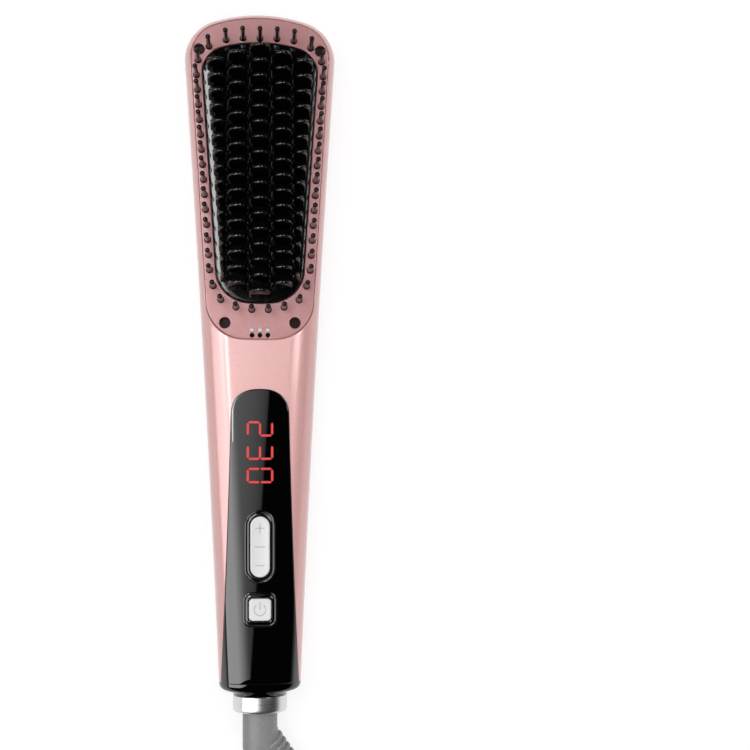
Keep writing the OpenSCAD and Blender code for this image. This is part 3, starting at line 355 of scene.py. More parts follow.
def crowned(tip, half, small, big, n=16):
    """The right half of a crowned end: a corner's arc, then the crown's, up to the middle"""
    cx = half - small
    a = 90 - math.degrees(math.asin(cx / (big - small)))
    return arc(cx, tip - corner_dy(big, small, cx), small, 0, a, n) + arc(0, tip - big, big, a, 90, n)[1:]


SIDE_TOP_Y = TIP_Y - corner_dy(CROWN_R, CORNER_R, HEAD_HALF - CORNER_R)


def half_at(y):
    u = (y - TAIL_Y) / (SIDE_TOP_Y - TAIL_Y)
    return lerp(TAIL_HALF, HEAD_HALF, u) - SIDE_BOW * 4 * u * (1 - u)


def mirrored(half):
    return half + [(-x, y) for x, y in reversed(half[:-1])]


def body_line(d, tail_d, n=60):
    """The body's outline, moved in by d, and by tail_d at the tail"""
    side = []
    for i in range(n):
        y = lerp(TAIL_Y, SIDE_TOP_Y, i / n)
        side.append((half_at(y) - lerp(tail_d, d, clip(4 * i / n, 0, 1)), y))
    return mirrored(side + crowned(TIP_Y - d, HEAD_HALF - d, CORNER_R - d, CROWN_R - d))


def cover_line(d, n=60):
    """The back cover's outline, moved in by d"""
    tip, half = TIP_Y - COVER_RIM - d, COVER_HEAD_HALF - d
    small, big = COVER_CORNER_R - d, COVER_CROWN_R - d
    top_y = tip - corner_dy(big, small, half - small)
    side = [(lerp(COVER_TAIL_HALF - d, half, i / n), lerp(TAIL_Y, top_y, i / n)) for i in range(n)]
    return mirrored(side + crowned(tip, half, small, big))


def shield_half(tip, foot, top_half, foot_half, small, big, foot_small, foot_big):
    """The right half of a form with a crowned tip and foot, from its foot to its tip"""
    low = [(x, -y) for x, y in reversed(crowned(-foot, foot_half, foot_small, foot_big))]
    high = crowned(tip, top_half, small, big)
    n = 40
    side = [(lerp(low[-1][0], high[0][0], i / n), lerp(low[-1][1], high[0][1], i / n)) for i in range(1, n)]
    return low + side + high


def opening_half(d):
    return shield_half(TIP_Y - LIP_W - d, FRAME_FOOT_Y + d, HEAD_HALF - LIP_W - d, FRAME_FOOT_HALF - d,
                       CORNER_R - LIP_W - d, CROWN_R - LIP_W - d, FRAME_FOOT_R - d, FRAME_FOOT_CROWN_R - d)


def plate_half_line(d):
    return shield_half(PLATE_TIP_Y + d, PLATE_FOOT_Y - d, PLATE_TOP_HALF + d, PLATE_FOOT_HALF + d,
                       PLATE_R + d, PLATE_CROWN_R + d, PLATE_FOOT_R + d, PLATE_CROWN_R + d)


def ring_of(half):
    """A closed line from the right half of one that starts and ends on the middle"""
    return half + [(-x, y) for x, y in reversed(half[1:-1])]


def plate_half_at(y):
    """Half the plate's width at y, and where its foot's corner starts"""
    y0 = PLATE_FOOT_Y + corner_dy(PLATE_CROWN_R, PLATE_FOOT_R, PLATE_FOOT_HALF - PLATE_FOOT_R)
    y1 = PLATE_TIP_Y - corner_dy(PLATE_CROWN_R, PLATE_R, PLATE_TOP_HALF - PLATE_R)
    return lerp(PLATE_FOOT_HALF, PLATE_TOP_HALF, clip((y - y0) / (y1 - y0), 0, 1)), y0


def plate_edge_at(y):
    half, y0 = plate_half_at(y)
    return half - PLATE_FOOT_R + math.sqrt(max(1, PLATE_FOOT_R ** 2 - max(0, y0 - y) ** 2))


def depth_at(x, y):
    """How far a point of the front lies inside the body's outline"""
    x = abs(x)
    if y <= SIDE_TOP_Y:
        return half_at(y) - x
    cx, cy = HEAD_HALF - CORNER_R, TIP_Y - corner_dy(CROWN_R, CORNER_R, HEAD_HALF - CORNER_R)
    turn = 90 - math.degrees(math.asin(cx / (CROWN_R - CORNER_R)))
    if x > cx and math.degrees(math.atan2(y - cy, x - cx)) < turn:
        return CORNER_R - math.hypot(x - cx, y - cy)
    return CROWN_R - math.hypot(x, y - TIP_Y + CROWN_R)


def front_at(x, y):
    """The front shell's height at a point"""
    e = clip(depth_at(x, y) / FRONT_ROUND, 0, 1)
    return SEAM_Z + (FRONT_Z - SEAM_Z) * (1 - (1 - e) ** EDGE_POWER) ** (1 / EDGE_POWER)


def edge_in(t):
    return 1 - math.cos(math.pi / 2 * t) ** (2 / EDGE_POWER)


def edge_up(t):
    return math.sin(math.pi / 2 * t) ** (2 / EDGE_POWER)


def dome(low, high, z0, z1, n=20, seam=0.0):
    """Rings of a shell's rounded side, from its seam to its face, with a chamfer at the seam"""
    rings = []
    for k in range(n + 1):
        t = k / n
        s = edge_in(t)
        line = [(lerp(a[0], b[0], s), lerp(a[1], b[1], s)) for a, b in zip(low, high)]
        rings.append(lift(line, z0 + (z1 - z0) * edge_up(t)))
    if seam:
        step = math.copysign(seam, z1 - z0)
        shrunk = [(x * (1 - seam / abs(x)) if abs(x) > 3 else x, y) for x, y in low]
        rings[0] = lift(low, z0 + step)
        rings.insert(0, lift(shrunk, z0 + step * 0.15))
    return rings


# ---------------------------------------------------------------- cord
BOOT_LEAD, BOOT_BEND_R, BOOT_TILT = 6.3, 8, 15
bend, tilt = math.radians(BOOT_BEND), math.radians(BOOT_TILT)
BOOT_SIDE = Vector((math.cos(tilt), 0, -math.sin(tilt)))
BOOT_DIR = Vector((math.sin(bend) * math.cos(tilt), -math.cos(bend), -math.sin(bend) * math.sin(tilt)))
BEND_AT = Vector((0, COLLAR_Y, SEAM_Z)) - Vector((0, BOOT_LEAD, 0))


def boot_bend_point(a):
    return BEND_AT + BOOT_BEND_R * ((1 - math.cos(a)) * BOOT_SIDE + math.sin(a) * Vector((0, -1, 0)))


TAPER_AT = boot_bend_point(bend)
BOOT_END = TAPER_AT + BOOT_TAPER * BOOT_DIR
HANK_FOLD, HANK_TURNS, HANK_STEP, HANK_LAYER, HANK_RUN, HANK_WAIST = 18, 2.5, 7.2, 6.6, 90, 14
HANK_OUT = HANK_FOLD + HANK_TURNS * HANK_STEP
HANK_LOW_Z = 4
HANK_TOP_Y = COLLAR_Y - 80
HANK_FOOT_Y = HANK_TOP_Y - HANK_RUN
RINGS = 24
QUARTER = RINGS / 4
REVERSE_AT = HANK_TURNS * RINGS
PLUG_T = 13.7
PLUG_Z = HANK_LOW_Z + HANK_LAYER + CORD_D / 2 + 0.3 + PLUG_T / 2
PLUG_LOW_Y = HANK_FOOT_Y + 3


def hank_point(j):
    """A point of the hank, which winds inwards and then back outwards in a second layer"""
    back = max(0, j - REVERSE_AT - QUARTER)
    r = HANK_OUT - HANK_STEP * j / RINGS if j < REVERSE_AT else HANK_FOLD + HANK_STEP * back / RINGS
    z = HANK_LOW_Z + HANK_LAYER * clip((j - REVERSE_AT) / QUARTER, 0, 1)
    q = j % RINGS
    k = int(q // QUARTER)
    u = q / QUARTER - k
    pull = HANK_WAIST * (1 - math.cos(2 * math.pi * u)) / 2
    a = math.pi * u
    return Vector([
        (r - pull, lerp(HANK_TOP_Y, HANK_FOOT_Y, u), z),
        (r * math.cos(a), HANK_FOOT_Y - r * math.sin(a), z),
        (pull - r, lerp(HANK_FOOT_Y, HANK_TOP_Y, u), z),
        (-r * math.cos(a), HANK_TOP_Y + r * math.sin(a), z)][k])


def through(points, steps=6):
    """A smooth line through points"""
    p = [Vector(v) for v in points]
    out = []
    for i in range(len(p) - 1):
        a, b, c, d = p[max(i - 1, 0)], p[i], p[i + 1], p[min(i + 2, len(p) - 1)]
        for k in range(steps):
            t = k / steps
            bow, twist = 2 * a - 5 * b + 4 * c - d, 3 * b - a - 3 * c + d
            out.append(0.5 * (2 * b + (c - a) * t + bow * t * t + twist * t ** 3))
    return out + [p[-1]]


def cord_points():
    """The cord from the collar through the boot, the hank and back to the plug"""
    gap = Vector((0, CORD_D, 0))
    hank = [hank_point(j / 2) for j in range(int(REVERSE_AT * 4) + 1)]
    start, end = hank[0] + gap, hank[-1] - gap
    lead = [Vector((0, COLLAR_Y - 0.5, SEAM_Z))] + [boot_bend_point(bend * k / 6) for k in range(7)]
    lead += through([TAPER_AT + 0.5 * BOOT_TAPER * BOOT_DIR, BOOT_END, BOOT_END + CORD_D * BOOT_DIR,
                     (24, -189.5, 5.8), (28, -196.5, 5), (31.6, -203, 4.5), (34.6, -208.5, 4.2),
                     start + gap, start])
    plug_in = Vector((0, PLUG_LOW_Y - 12, PLUG_Z))
    tail = through([end, end - gap, (31, -241, 11.6), (24, -255, 13), (20.6, -270, 14), (24.5, -285, 15.1),
                    (32, -300, 16.2), (35.4, -314, 17.2), (35.4, -328, 17.6), (32, -338, 18), (25, -344, 18.4),
                    (17, -345.5, 18.9), (9, -343, 19.5), (3, -337, 20.2), plug_in - gap, plug_in,
                    plug_in + Vector((0, 4, 0))])
    return lead + hank + tail


def add_cord():
    points = cord_points()
    curve = bpy.data.curves.new("power_cord_run", "CURVE")
    curve.dimensions, curve.bevel_depth, curve.bevel_resolution = "3D", CORD_D / 2 * MM, 6
    curve.use_fill_caps = True
    spline = curve.splines.new("POLY")
    spline.points.add(len(points) - 1)
    for p, at in zip(spline.points, points):
        p.co = (*(at * MM), 1)
    spline.use_smooth = True
    obj = placed("power_cord_run", curve)
    curve.materials.append(MATERIALS["cord_rubber"])
    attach(obj, "cord")
    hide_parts("power_cord", "cord_hank", "plug_lead")
    length = sum((b - a).length for a, b in zip(points, points[1:])) * MM
    return obj, length


def tube(points, radii, n):
    """A closed round form along a line, with its own radius at each point"""
    rings = []
    turns = [on_circle(1, k, n) for k in range(n)]
    for i, p in enumerate(points):
        t = (points[min(i + 1, len(points) - 1)] - points[max(i - 1, 0)]).normalized()
        s = t.cross(Vector((0, 0, 1))).normalized()
        u = s.cross(t)
        rings.append([tuple(p + radii[i] * (across * s + over * u)) for across, over in turns])
    return rings_mesh(rings)


cord, cord_length = add_cord()


def stadium_half(length, width, n=10):
    """The right half of a stadium along Y, from its foot to its tip"""
    r, h = width / 2, (length - width) / 2
    return arc(0, -h, r, -90, 0, n) + [(r, lerp(-h, h, k / 12)) for k in range(1, 12)] + arc(0, h, r, 0, 90, n)


def square_ring(w, h, r, n=6):
    line = []
    for cx, cy, a in ((1, -1, -90), (1, 1, 0), (-1, 1, 90), (-1, -1, 180)):
        line += arc(cx * (w / 2 - r), cy * (h / 2 - r), r, a, a + 90, n)
    return line


def moved(line, dx, dy):
    return [(x + dx, y + dy) for x, y in line]


def stack(make, steps):
    """A closed form through outlines, from steps of [outset, z]"""
    return rings_mesh([lift(make(d), z) for d, z in steps])


def add_cord_end():
    """The plug with its ribbed sleeve, and its prongs"""
    half = [(7, 0), (11, 6), (14, 16), (17.5, 22), (17.5, 34), (15.5, 36)]
    body = [(-7, 0)] + half + [(-x, y) for x, y in half[:0:-1]]
    # Corners of the plug's outline are cut twice
    for _ in range(2):
        sides = list(zip(body, body[1:] + body[:1]))
        body = [(lerp(a[0], b[0], t), lerp(a[1], b[1], t)) for a, b in sides for t in (0.22, 0.78)]
    outline = moved(body, 0, PLUG_LOW_Y)
    z0, z1 = PLUG_Z - PLUG_T / 2, PLUG_Z + PLUG_T / 2
    edge = fillet(2.4, 5)
    steps = [(-d, z0 + h) for d, h in reversed(edge)] + [(-d, z1 - h) for d, h in edge]
    form = stack(lambda d: outset(outline, d), steps)
    ribs = []
    for k in range(5):
        r, h = lerp(5.6, 4.2, k / 5), 2.2 * k
        ribs += [(r, 1 + h), (r, 2.2 + h), (r - 0.6, 2.45 + h), (r - 0.6, 2.95 + h)]
    sleeve = lathe([(0, -2), (5.4, -2)] + ribs + [(3.8, 12), (0, 12)], (0, PLUG_LOW_Y, PLUG_Z), "-y", 24)
    plug = piece("plug_moulding", *joined([form, sleeve]), "cord_rubber", ("plug_body",), "cord")
    pin = [(0, 0), (2, 0), (2, -17.6), (1.75, -18.5), (1.2, -19), (0, -19)]
    pins = [lathe(pin, (s * 9.5, PLUG_LOW_Y + 36, PLUG_Z), "-y", 20) for s in (-1, 1)]
    prongs = piece("plug_prongs", *joined(pins), "silver_metal", ("plug_pins",), "cord")
    return plug, prongs


def add_tie():
    """A flat band round the hank's waist"""
    lo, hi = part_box("hank_tie")
    y0, y1 = lo.y / MM, hi.y / MM
    left, right = lo.x / MM + 4, hi.x / MM - 4
    # Runs of cord that the band passes round, as [x, z, radius], and its degrees on each
    turns = [((left, 4.1, 3.15), (180, 270)), ((right, 4.1, 3.15), (270, 360)),
             ((right - 0.2, 14.6, 3.2), (0, 75)), ((left, 10.6, 3.4), (75, 180))]
    outer, inner = [], []
    for (x, z, r), (a0, a1) in turns:
        outer += arc(x, z, r + 0.75, a0, a1, 8)
        inner += arc(x, z, r + 0.05, a0, a1, 8)
    bevel = 0.25
    edges = ((bevel, y0), (0, y0 + bevel), (0, y1 - bevel), (bevel, y1))
    rings = [[(x, y, z) for x, z in outset(outer, -inset)] for inset, y in edges]
    rings += [[(x, y, z) for x, z in inner] for y in (y1, y0)]
    return piece("hank_band", *rings_mesh(rings, closed=True), "cord_rubber", ("hank_tie",), "cord")


plug, prongs = add_cord_end()
tie = add_tie()


def add_strain_relief():
    """A straight stub, and the bent and ribbed taper that leaves its side"""
    rib_count, rib_h = 7, 0.8
    end_r, inner = CORD_D / 2 + 1.4, BOOT_R - 0.3
    line = [BEND_AT + Vector((0, 3, 0)), BEND_AT] + [boot_bend_point(bend * k / 10) for k in range(1, 11)]
    radii = [inner] * len(line)
    rings = [(0.5, inner), (0.75, inner - 0.2), (0.95, inner - rib_h)]
    rib = [(0, -rib_h), (0.1, -0.25), (0.35, 0), (1.4, 0), (1.65, -0.25), (1.8, -rib_h)]
    for i in range(rib_count):
        d, r = 2.2 + i * (BOOT_TAPER - 3.4) / rib_count, lerp(inner, end_r + rib_h, i / rib_count)
        rings += [(d + along, r + out) for along, out in rib]
    rings += [(BOOT_TAPER - 0.4, end_r), (BOOT_TAPER - 0.1, end_r - 0.2), (BOOT_TAPER, end_r - 0.5)]
    line += [TAPER_AT + d * BOOT_DIR for d, _ in rings]
    radii += [r for _, r in rings]
    length, edge = COLLAR_LEN + 17.3, 2.6
    profile = [(0, 0), (BOOT_R, 0), (BOOT_R, length - edge)]
    profile += around(BOOT_R - edge, length - edge, edge, range(15, 91, 15)) + [(0, length)]
    stub = lathe(profile, (0, CAP_Y - 0.3, SEAM_Z), "-y", 48)
    form = joined([stub, tube(line, radii, 36)])
    piece("cord_boot", *form, "boot_rubber", ("strain_relief",), "cord", angle=50)


add_strain_relief()


# ---------------------------------------------------------------- shells
def plate_mesh(half, top, low, edge, cells=16, steps=4):
    """A closed plate whose outline is mirrored from half, with a rounded upper edge and gridded faces"""
    right = list(half)
    left = [(-x, y) for x, y in right]
    tip_shared = abs(right[-1][0]) < 1e-9
    foot_shared = abs(right[0][0]) < 1e-9
    loop = list(right)
    if not tip_shared:
        loop += [(lerp(right[-1][0], left[-1][0], k / cells), right[-1][1]) for k in range(1, cells)]
    loop += list(reversed(left[:-1] if tip_shared else left))
    if foot_shared:
        loop = loop[:-1]
    else:
        loop += [(lerp(left[0][0], right[0][0], k / cells), right[0][1]) for k in range(1, cells)]
    n, m = len(loop), len(right)
    rings = [lift(loop, low)]
    for d, down in fillet(edge, steps):
        line = outset(loop, -d)
        rings.append([(x, y, top(x, y) - down) for x, y in line])
    verts, faces = rings_mesh(rings, ends=False)

    def grid(base, flip, height):
        ring = verts[base:base + n]
        rows = []
        for i in range(m):
            tip_points = -1 if tip_shared else cells - 1
            j = (n - i) % n if foot_shared else (m + tip_points + m - 1 - i) % n
            if i == m - 1:
                if tip_shared:
                    rows.append([base + i] * (cells + 1))
                    continue
                rows.append([base + i + k for k in range(cells + 1)])
                continue
            if i == 0:
                if foot_shared:
                    rows.append([base] * (cells + 1))
                    continue
                rows.append([base] + [base + n - k for k in range(1, cells + 1)])
                continue
            a, b = ring[i], ring[j]
            row = [base + i]
            for k in range(1, cells):
                x, y = lerp(a[0], b[0], k / cells), lerp(a[1], b[1], k / cells)
                row.append(len(verts))
                verts.append((x, y, height(x, y)))
            rows.append(row + [base + j])
        for r, s in zip(rows, rows[1:]):
            for k in range(cells):
                face = [r[k], r[k + 1], s[k + 1], s[k]]
                face = [v for q, v in enumerate(face) if v not in face[:q]]
                if len(face) > 2:
                    faces.append(tuple(face[::-1] if flip else face))

    grid((len(rings) - 1) * n, False, top)
    grid(0, True, low if callable(low) else lambda x, y: low)
    return verts, faces


PANEL_ARCH_H, PANEL_ARCH_POWER, PANEL_BOW = 11, 2.42, 1.4


def panel_half(grow=0.0):
    """The control panel's right side, from the tail to its arched top"""
    arch_y = PANEL_TOP_Y - PANEL_ARCH_H
    line = []
    for i in range(50):
        y = lerp(TAIL_Y, arch_y, i / 50)
        u = (y - TAIL_Y) / (PANEL_TOP_Y - TAIL_Y - PANEL_ARCH_H)
        line.append((lerp(PANEL_TAIL_HALF, PANEL_TOP_HALF, u) - PANEL_BOW * u * (1 - u) + grow, y))
    for k in range(25):
        a = math.pi / 2 * k / 24
        x = PANEL_TOP_HALF * math.cos(a) ** (2 / PANEL_ARCH_POWER) if k < 24 else 0.0
        rise = (PANEL_ARCH_H + grow) * math.sin(a) ** (2 / PANEL_ARCH_POWER)
        line.append((x * (1 + grow / PANEL_TOP_HALF), arch_y + rise))
    return line


def hole_cutter(x, y, r, flare, n):
    """A closed cutter for a round hole in the face frame, wider where it leaves"""
    low, high, wide = 15, 30, r + flare + 0.02
    return lathe([(0, low), (r, low), (r, FRAME_Z - flare), (r + 0.3 * flare, FRAME_Z - 0.3 * flare),
                  (wide, FRAME_Z + 0.02), (wide, high), (0, high)], (x, y, 0), "z", n)


def opening_cutter():
    """The face frame's opening, with its upper edge rounded along the front's surface"""
    r = 0.55
    rings = [lift(ring_of(opening_half(0)), 15)]
    for d, down in fillet(r):
        rings.append([(x, y, front_at(x, y) - down) for x, y in ring_of(opening_half(-d))])
    rings[-1] = [(x, y, z + 0.03) for x, y, z in rings[-1]]
    rings.append(lift(ring_of(opening_half(-r)), 40))
    return rings_mesh(rings)


def hollow_rings(low, high, top_z):
    """Rings of a shell's hollow, which stops a wall short of the tail"""
    rings = dome(low, high, SEAM_Z, top_z, 8)
    return [[(x, max(y, TAIL_Y + WALL), z) for x, y, z in r] for r in rings]


def add_front():
    outer = dome(body_line(0, 0), body_line(FRONT_ROUND, FRONT_ROUND), SEAM_Z, FRONT_Z, seam=0.22)
    inner = hollow_rings(body_line(WALL, WALL), body_line(FRONT_ROUND, FRONT_ROUND), FRAME_Z - FRAME_T - 1)
    front = piece("front_case", *rings_mesh(outer[::-1] + inner), "rose_shell", ("front_shell",))
    cut(front, *opening_cutter())
    cut(front, *plate_mesh(panel_half(0.14), lambda x, y: front_at(x, y) + 6,
                           lambda x, y: front_at(x, y) - PANEL_T, edge=0.02, steps=1))
    half, low, high = 9.5, TAIL_Y + 14, PANEL_TOP_Y - 6
    cut(front, *slab([(-half, low), (half, low), (half, high), (-half, high)], 15, 23))
    smoothed(front)


def add_back():
    rim = cover_line(-0.25)
    low = dome(body_line(0, 0), rim, SEAM_Z, 0.3, seam=0.22)
    hollow = hollow_rings(body_line(WALL, WALL), cover_line(WALL - 0.6), COVER_T + 1.8)
    rings = hollow[::-1] + low + [lift(rim, COVER_T)]
    back = piece("back_case", *rings_mesh(rings), "rose_shell", ("back_shell",))
    smoothed(back)
    line = cover_line(0)
    half = line[:len(line) // 2 + 1]
    half[-1] = (0.0, half[-1][1])
    verts, faces = plate_mesh(half, lambda x, y: 0.0, lambda x, y: -COVER_T, edge=0.55, cells=10)
    piece("back_panel", [(x, y, -z) for x, y, z in verts], faces, "black_gloss", ("back_cover",))


add_front()
add_back()


# ---------------------------------------------------------------- head
OUTLET_PITCH, OUTLET_Y = 3.25, FRAME_FOOT_Y + 2
NOZZLE_Y = OUTLET_Y + 2.1
FACE_SCREW_R, OUTLET_R = 2.35, 1.0
FACE_SCREW_TOP = (HEAD_HALF - 6.4, TIP_Y - 16.4)
FACE_SCREW_FOOT = (FRAME_FOOT_HALF - 7.9, FRAME_FOOT_Y + 7.1)
FACE_SCREWS = [(s * x, y) for s in (-1, 1) for x, y in (FACE_SCREW_TOP, FACE_SCREW_FOOT)]


def add_face_frame():
    outer, inner = ring_of(opening_half(0.15)), ring_of(plate_half_line(0.3))
    rings = [lift(outer, FRAME_Z - FRAME_T)]
    rings += [lift(outset(outer, -d), FRAME_Z - h) for d, h in fillet(0.45)]
    rings += [lift(outset(inner, d), FRAME_Z - h) for d, h in reversed(fillet(0.35))]
    rings.append(lift(inner, FRAME_Z - FRAME_T))
    ring = piece("head_frame", *rings_mesh(rings, closed=True), "rose_frame", ("face_frame",))
    holes = [hole_cutter(x, y, FACE_SCREW_R, 0.25, 40) for x, y in FACE_SCREWS]
    holes += [hole_cutter(i * OUTLET_PITCH, OUTLET_Y, OUTLET_R, 0.1, 24) for i in (-1, 0, 1)]
    for hole in holes:
        cut(ring, *hole)
    smoothed(ring)


def add_plate():
    form = plate_mesh(plate_half_line(0), lambda x, y: PLATE_Z, PLATE_LOW_Z, edge=0.7, cells=12)
    piece("heat_plate", *form, "black_ceramic", ("heater_plate",))


def tooth(x, y, w):
    """One wedge tooth: an arch across the brush, rounded over its thickness"""
    r, edge, foot, rise = w / 2, 0.72, -0.4, 6.2
    loops = []
    for side in (-1, 1):
        # Each step is how far inside the face and how far inside the arch
        steps = fillet(edge) if side < 0 else fillet(edge)[::-1][1:]
        for back, inset in steps:
            loop = [(r - inset, foot)]
            for k in range(21):
                a = math.pi * k / 20
                loop.append(((r - inset) * math.cos(a), TOOTH_H - rise + (rise - inset) * math.sin(a)))
            loop.append((inset - r, foot))
            ring = []
            for px, pz in loop:
                t = lerp(TOOTH_T / 2, TOOTH_TIP_T / 2, clip(pz / (TOOTH_H - TOOTH_TIP_T / 2), -0.1, 1))
                ring.append((x + px, y + side * (t - back), PLATE_Z + pz))
            loops.append(ring)
    return rings_mesh(loops)


def add_teeth():
    """A middle column of teeth and two on each side, every second one half a pitch lower"""
    column, rows = 9, 17
    tip_gap, foot_gap, edge_gap, corner_gap = 3.7, 4.3, 1.9, 0.6
    pitch = (PLATE_TIP_Y - PLATE_FOOT_Y - tip_gap - foot_gap) / (rows - 1)
    teeth = []
    for c in range(3):
        for i in range(rows - c):
            y = PLATE_TIP_Y - tip_gap - pitch / 2 * c - pitch * i
            x0 = c * column - TOOTH_W / 2 if c < 2 else 1.5 * column
            edge = min(plate_half_at(y)[0] - edge_gap, plate_edge_at(y - TOOTH_T / 2) - corner_gap)
            x1 = x0 + TOOTH_W if c < 2 else edge
            for s in ((1,) if c == 0 else (-1, 1)):
                teeth.append(tooth(s * (x0 + x1) / 2, y, x1 - x0))
    piece("comb_teeth", *joined(teeth), "black_ceramic", ("heating_teeth",), angle=50)


def bristle_places():
    """Places of the bristles: rows along the sides, an arch at the tip and a few at the foot"""
    rows, off = 15, 2.6
    tip_gap, foot_gap = 7.7, 13.6
    step = (PLATE_TIP_Y - PLATE_FOOT_Y - tip_gap - foot_gap) / (rows - 1)
    half = []
    for i in range(rows):
        y = PLATE_TIP_Y - tip_gap - step * i
        half.append((plate_half_at(y)[0] + off - (0.7 if i == 0 else 0), y))
    top_y = PLATE_TIP_Y + 1.9
    half += [(7.05 * k, top_y - 3.75 * (k / 3) ** 3.6) for k in (1, 2, 3)]
    half.append((3.4, PLATE_FOOT_Y - 2.8))
    half += around(PLATE_FOOT_HALF - 9.8, PLATE_FOOT_Y + 9.3, 11.2, (-82, -46, -12))
    return [(0, top_y)] + half + [(-x, y) for x, y in half]


def add_bristles():
    base, r, h = BRISTLE_BASE_R, BRISTLE_R, BRISTLE_H
    tip = r + 0.12
    profile = [(0, -0.2), (base - 0.1, -0.2), (base - 0.1, 0.3), (base - 0.25, 0.5), (r + 0.2, 0.9),
               (r + 0.06, 2.2), (r, 6), (r - 0.05, h - 3), (r, h - 2)]
    profile += around(0, h - tip, tip, range(-30, 71, 20)) + [(0, h)]
    pins = [lathe(profile, (x, y, FRAME_Z), "z", 18) for x, y in bristle_places()]
    piece("guard_pins", *joined(pins), "bristle_brown", ("guard_bristles",), angle=40)


def add_outlets():
    r, low, rise = 0.95, -6, 0.5
    profile = [(0, low), (r, low), (r, rise)]
    profile += [(r * x, rise + y) for x, y in around(0, 0, 1, (20, 40, 60, 80))] + [(0, rise + 1)]
    beads = [lathe(profile, (i * OUTLET_PITCH, NOZZLE_Y, FRAME_Z), "z", 20) for i in (-1, 0, 1)]
    piece("outlet_beads", *joined(beads), "white_plastic", ("outlet_nozzles",), angle=40)


add_face_frame()
add_plate()
add_teeth()
add_bristles()
add_outlets()


# ---------------------------------------------------------------- controls
def add_panel():
    form = plate_mesh(panel_half(), lambda x, y: front_at(x, y) + PANEL_PROUD,
                      lambda x, y: front_at(x, y) - PANEL_T + 0.02, edge=0.35, cells=24)
    panel = piece("control_fascia", *form, "black_gloss", ("control_panel",))
    bands = 2 * BEZEL_W
    stadium = ring_of(stadium_half(ROCKER_LEN + bands, ROCKER_W + bands))
    for line, y in ((stadium, ROCKER_Y), (square_ring(POWER_W + bands, POWER_W + bands, 3), POWER_Y)):
        cut(panel, *slab(moved(line, 0, y), 18, 30))


# The bezels' section as [outset, height over the panel], from the outer foot inwards
BEZEL_SPAN = 2.2
BEZEL_FORM = [(-0.75, -0.02), (0, 0.01), (0, 0.08), (-0.12, 0.25), (-0.42, 0.4), (-0.75, 0.4), (-0.95, 0.28),
              (-1.05, 0.16), (-1.3, 0.14), (-1.55, 0.3), (-1.95, 0.32), (-2.15, 0.15), (-BEZEL_SPAN, -0.3)]
BEZEL_STEPS = [(d, PANEL_Z + h) for d, h in BEZEL_FORM]
BEZEL_STEPS = [(-0.75, BEZEL_LOW_Z)] + BEZEL_STEPS + [(-BEZEL_SPAN, BEZEL_LOW_Z)]


def add_bezels():
    length, width = ROCKER_LEN + 2 * BEZEL_W + 1.1, ROCKER_W + 2 * BEZEL_W + 0.5
    inner = (width - ROCKER_W - 0.7) / 2
    rings = []
    for d, z in BEZEL_STEPS:
        grow = 2 * (d * inner / BEZEL_SPAN)
        rings.append(lift(moved(ring_of(stadium_half(length + grow, width + grow)), 0, ROCKER_Y), z))
    piece("rocker_surround", *rings_mesh(rings, closed=True), "black_gloss", ("rocker_bezel",), angle=40)
    w, h = POWER_W + 2 * BEZEL_W + 0.6, POWER_W + 2 * BEZEL_W + 1.1
    hole = POWER_W + 0.7
    rings = []
    for d, z in BEZEL_STEPS:
        t = -d / BEZEL_SPAN
        line = square_ring(lerp(w, hole, t), lerp(h, hole, t), lerp(3.2, 1.7, t))
        rings.append(lift(moved(line, 0, POWER_Y), z))
    piece("power_surround", *rings_mesh(rings, closed=True), "black_gloss", ("power_bezel",), angle=40)


def raised_mark(line, z):
    """A low raised form on a button"""
    h = 0.14
    return stack(lambda d: outset(line, d), [(0, z - 0.3), (0, z + h * 0.5), (-0.1, z + h)])


def bar(cx, cy, w, h):
    return moved(square_ring(w, h, min(w, h) / 2.05, 4), cx, cy)


def add_rocker():
    hx, hy, dish = ROCKER_W / 2, ROCKER_LEN / 2, 0.32

    def top(x, y):
        u = clip(abs(y - ROCKER_Y) / hy, 0, 1)
        return BUTTON_Z - dish * (1 - min(1, (x / (hx - 0.5)) ** 2)) * (1 - u ** 4)

    half = moved(stadium_half(ROCKER_LEN, ROCKER_W), 0, ROCKER_Y)
    half[0], half[-1] = (0.0, half[0][1]), (0.0, half[-1][1])
    body = plate_mesh(half, top, BUTTON_Z - 3, edge=0.5)
    piece("rocker_cap", *body, "white_plastic", ("temperature_rocker",), "rocker", angle=40)
    foot_r, foot_z, under_z = 1.6, 18.9, BUTTON_Z - 2.9
    boss = slab(moved([(-3.4, -4), (3.4, -4), (3.4, 4), (-3.4, 4)], 0, ROCKER_Y), 18.8, under_z)
    foot = [(0, foot_z), (foot_r, foot_z), (foot_r, under_z), (0, under_z)]
    feet = [lathe(foot, (0, ROCKER_Y + s * (hy - 3.6), 0)) for s in (-1, 1)]
    piece("rocker_feet", *joined([boss] + feet), "white_plastic", body="rocker")
    mark_y, mark_len, mark_w = 7.6, 4.6, 0.5
    marks = [bar(0, ROCKER_Y + y, mark_len, mark_w) for y in (mark_y, 0, -mark_y)]
    marks.append(bar(0, ROCKER_Y + mark_y, mark_w, mark_len))
    forms = [raised_mark(m, BUTTON_Z - dish) for m in marks]
    # The marks' grey look is painted shade on white plastic
    piece("rocker_marks", *joined(forms), "white_plastic", body="rocker", angle=30, look="mark_grey")


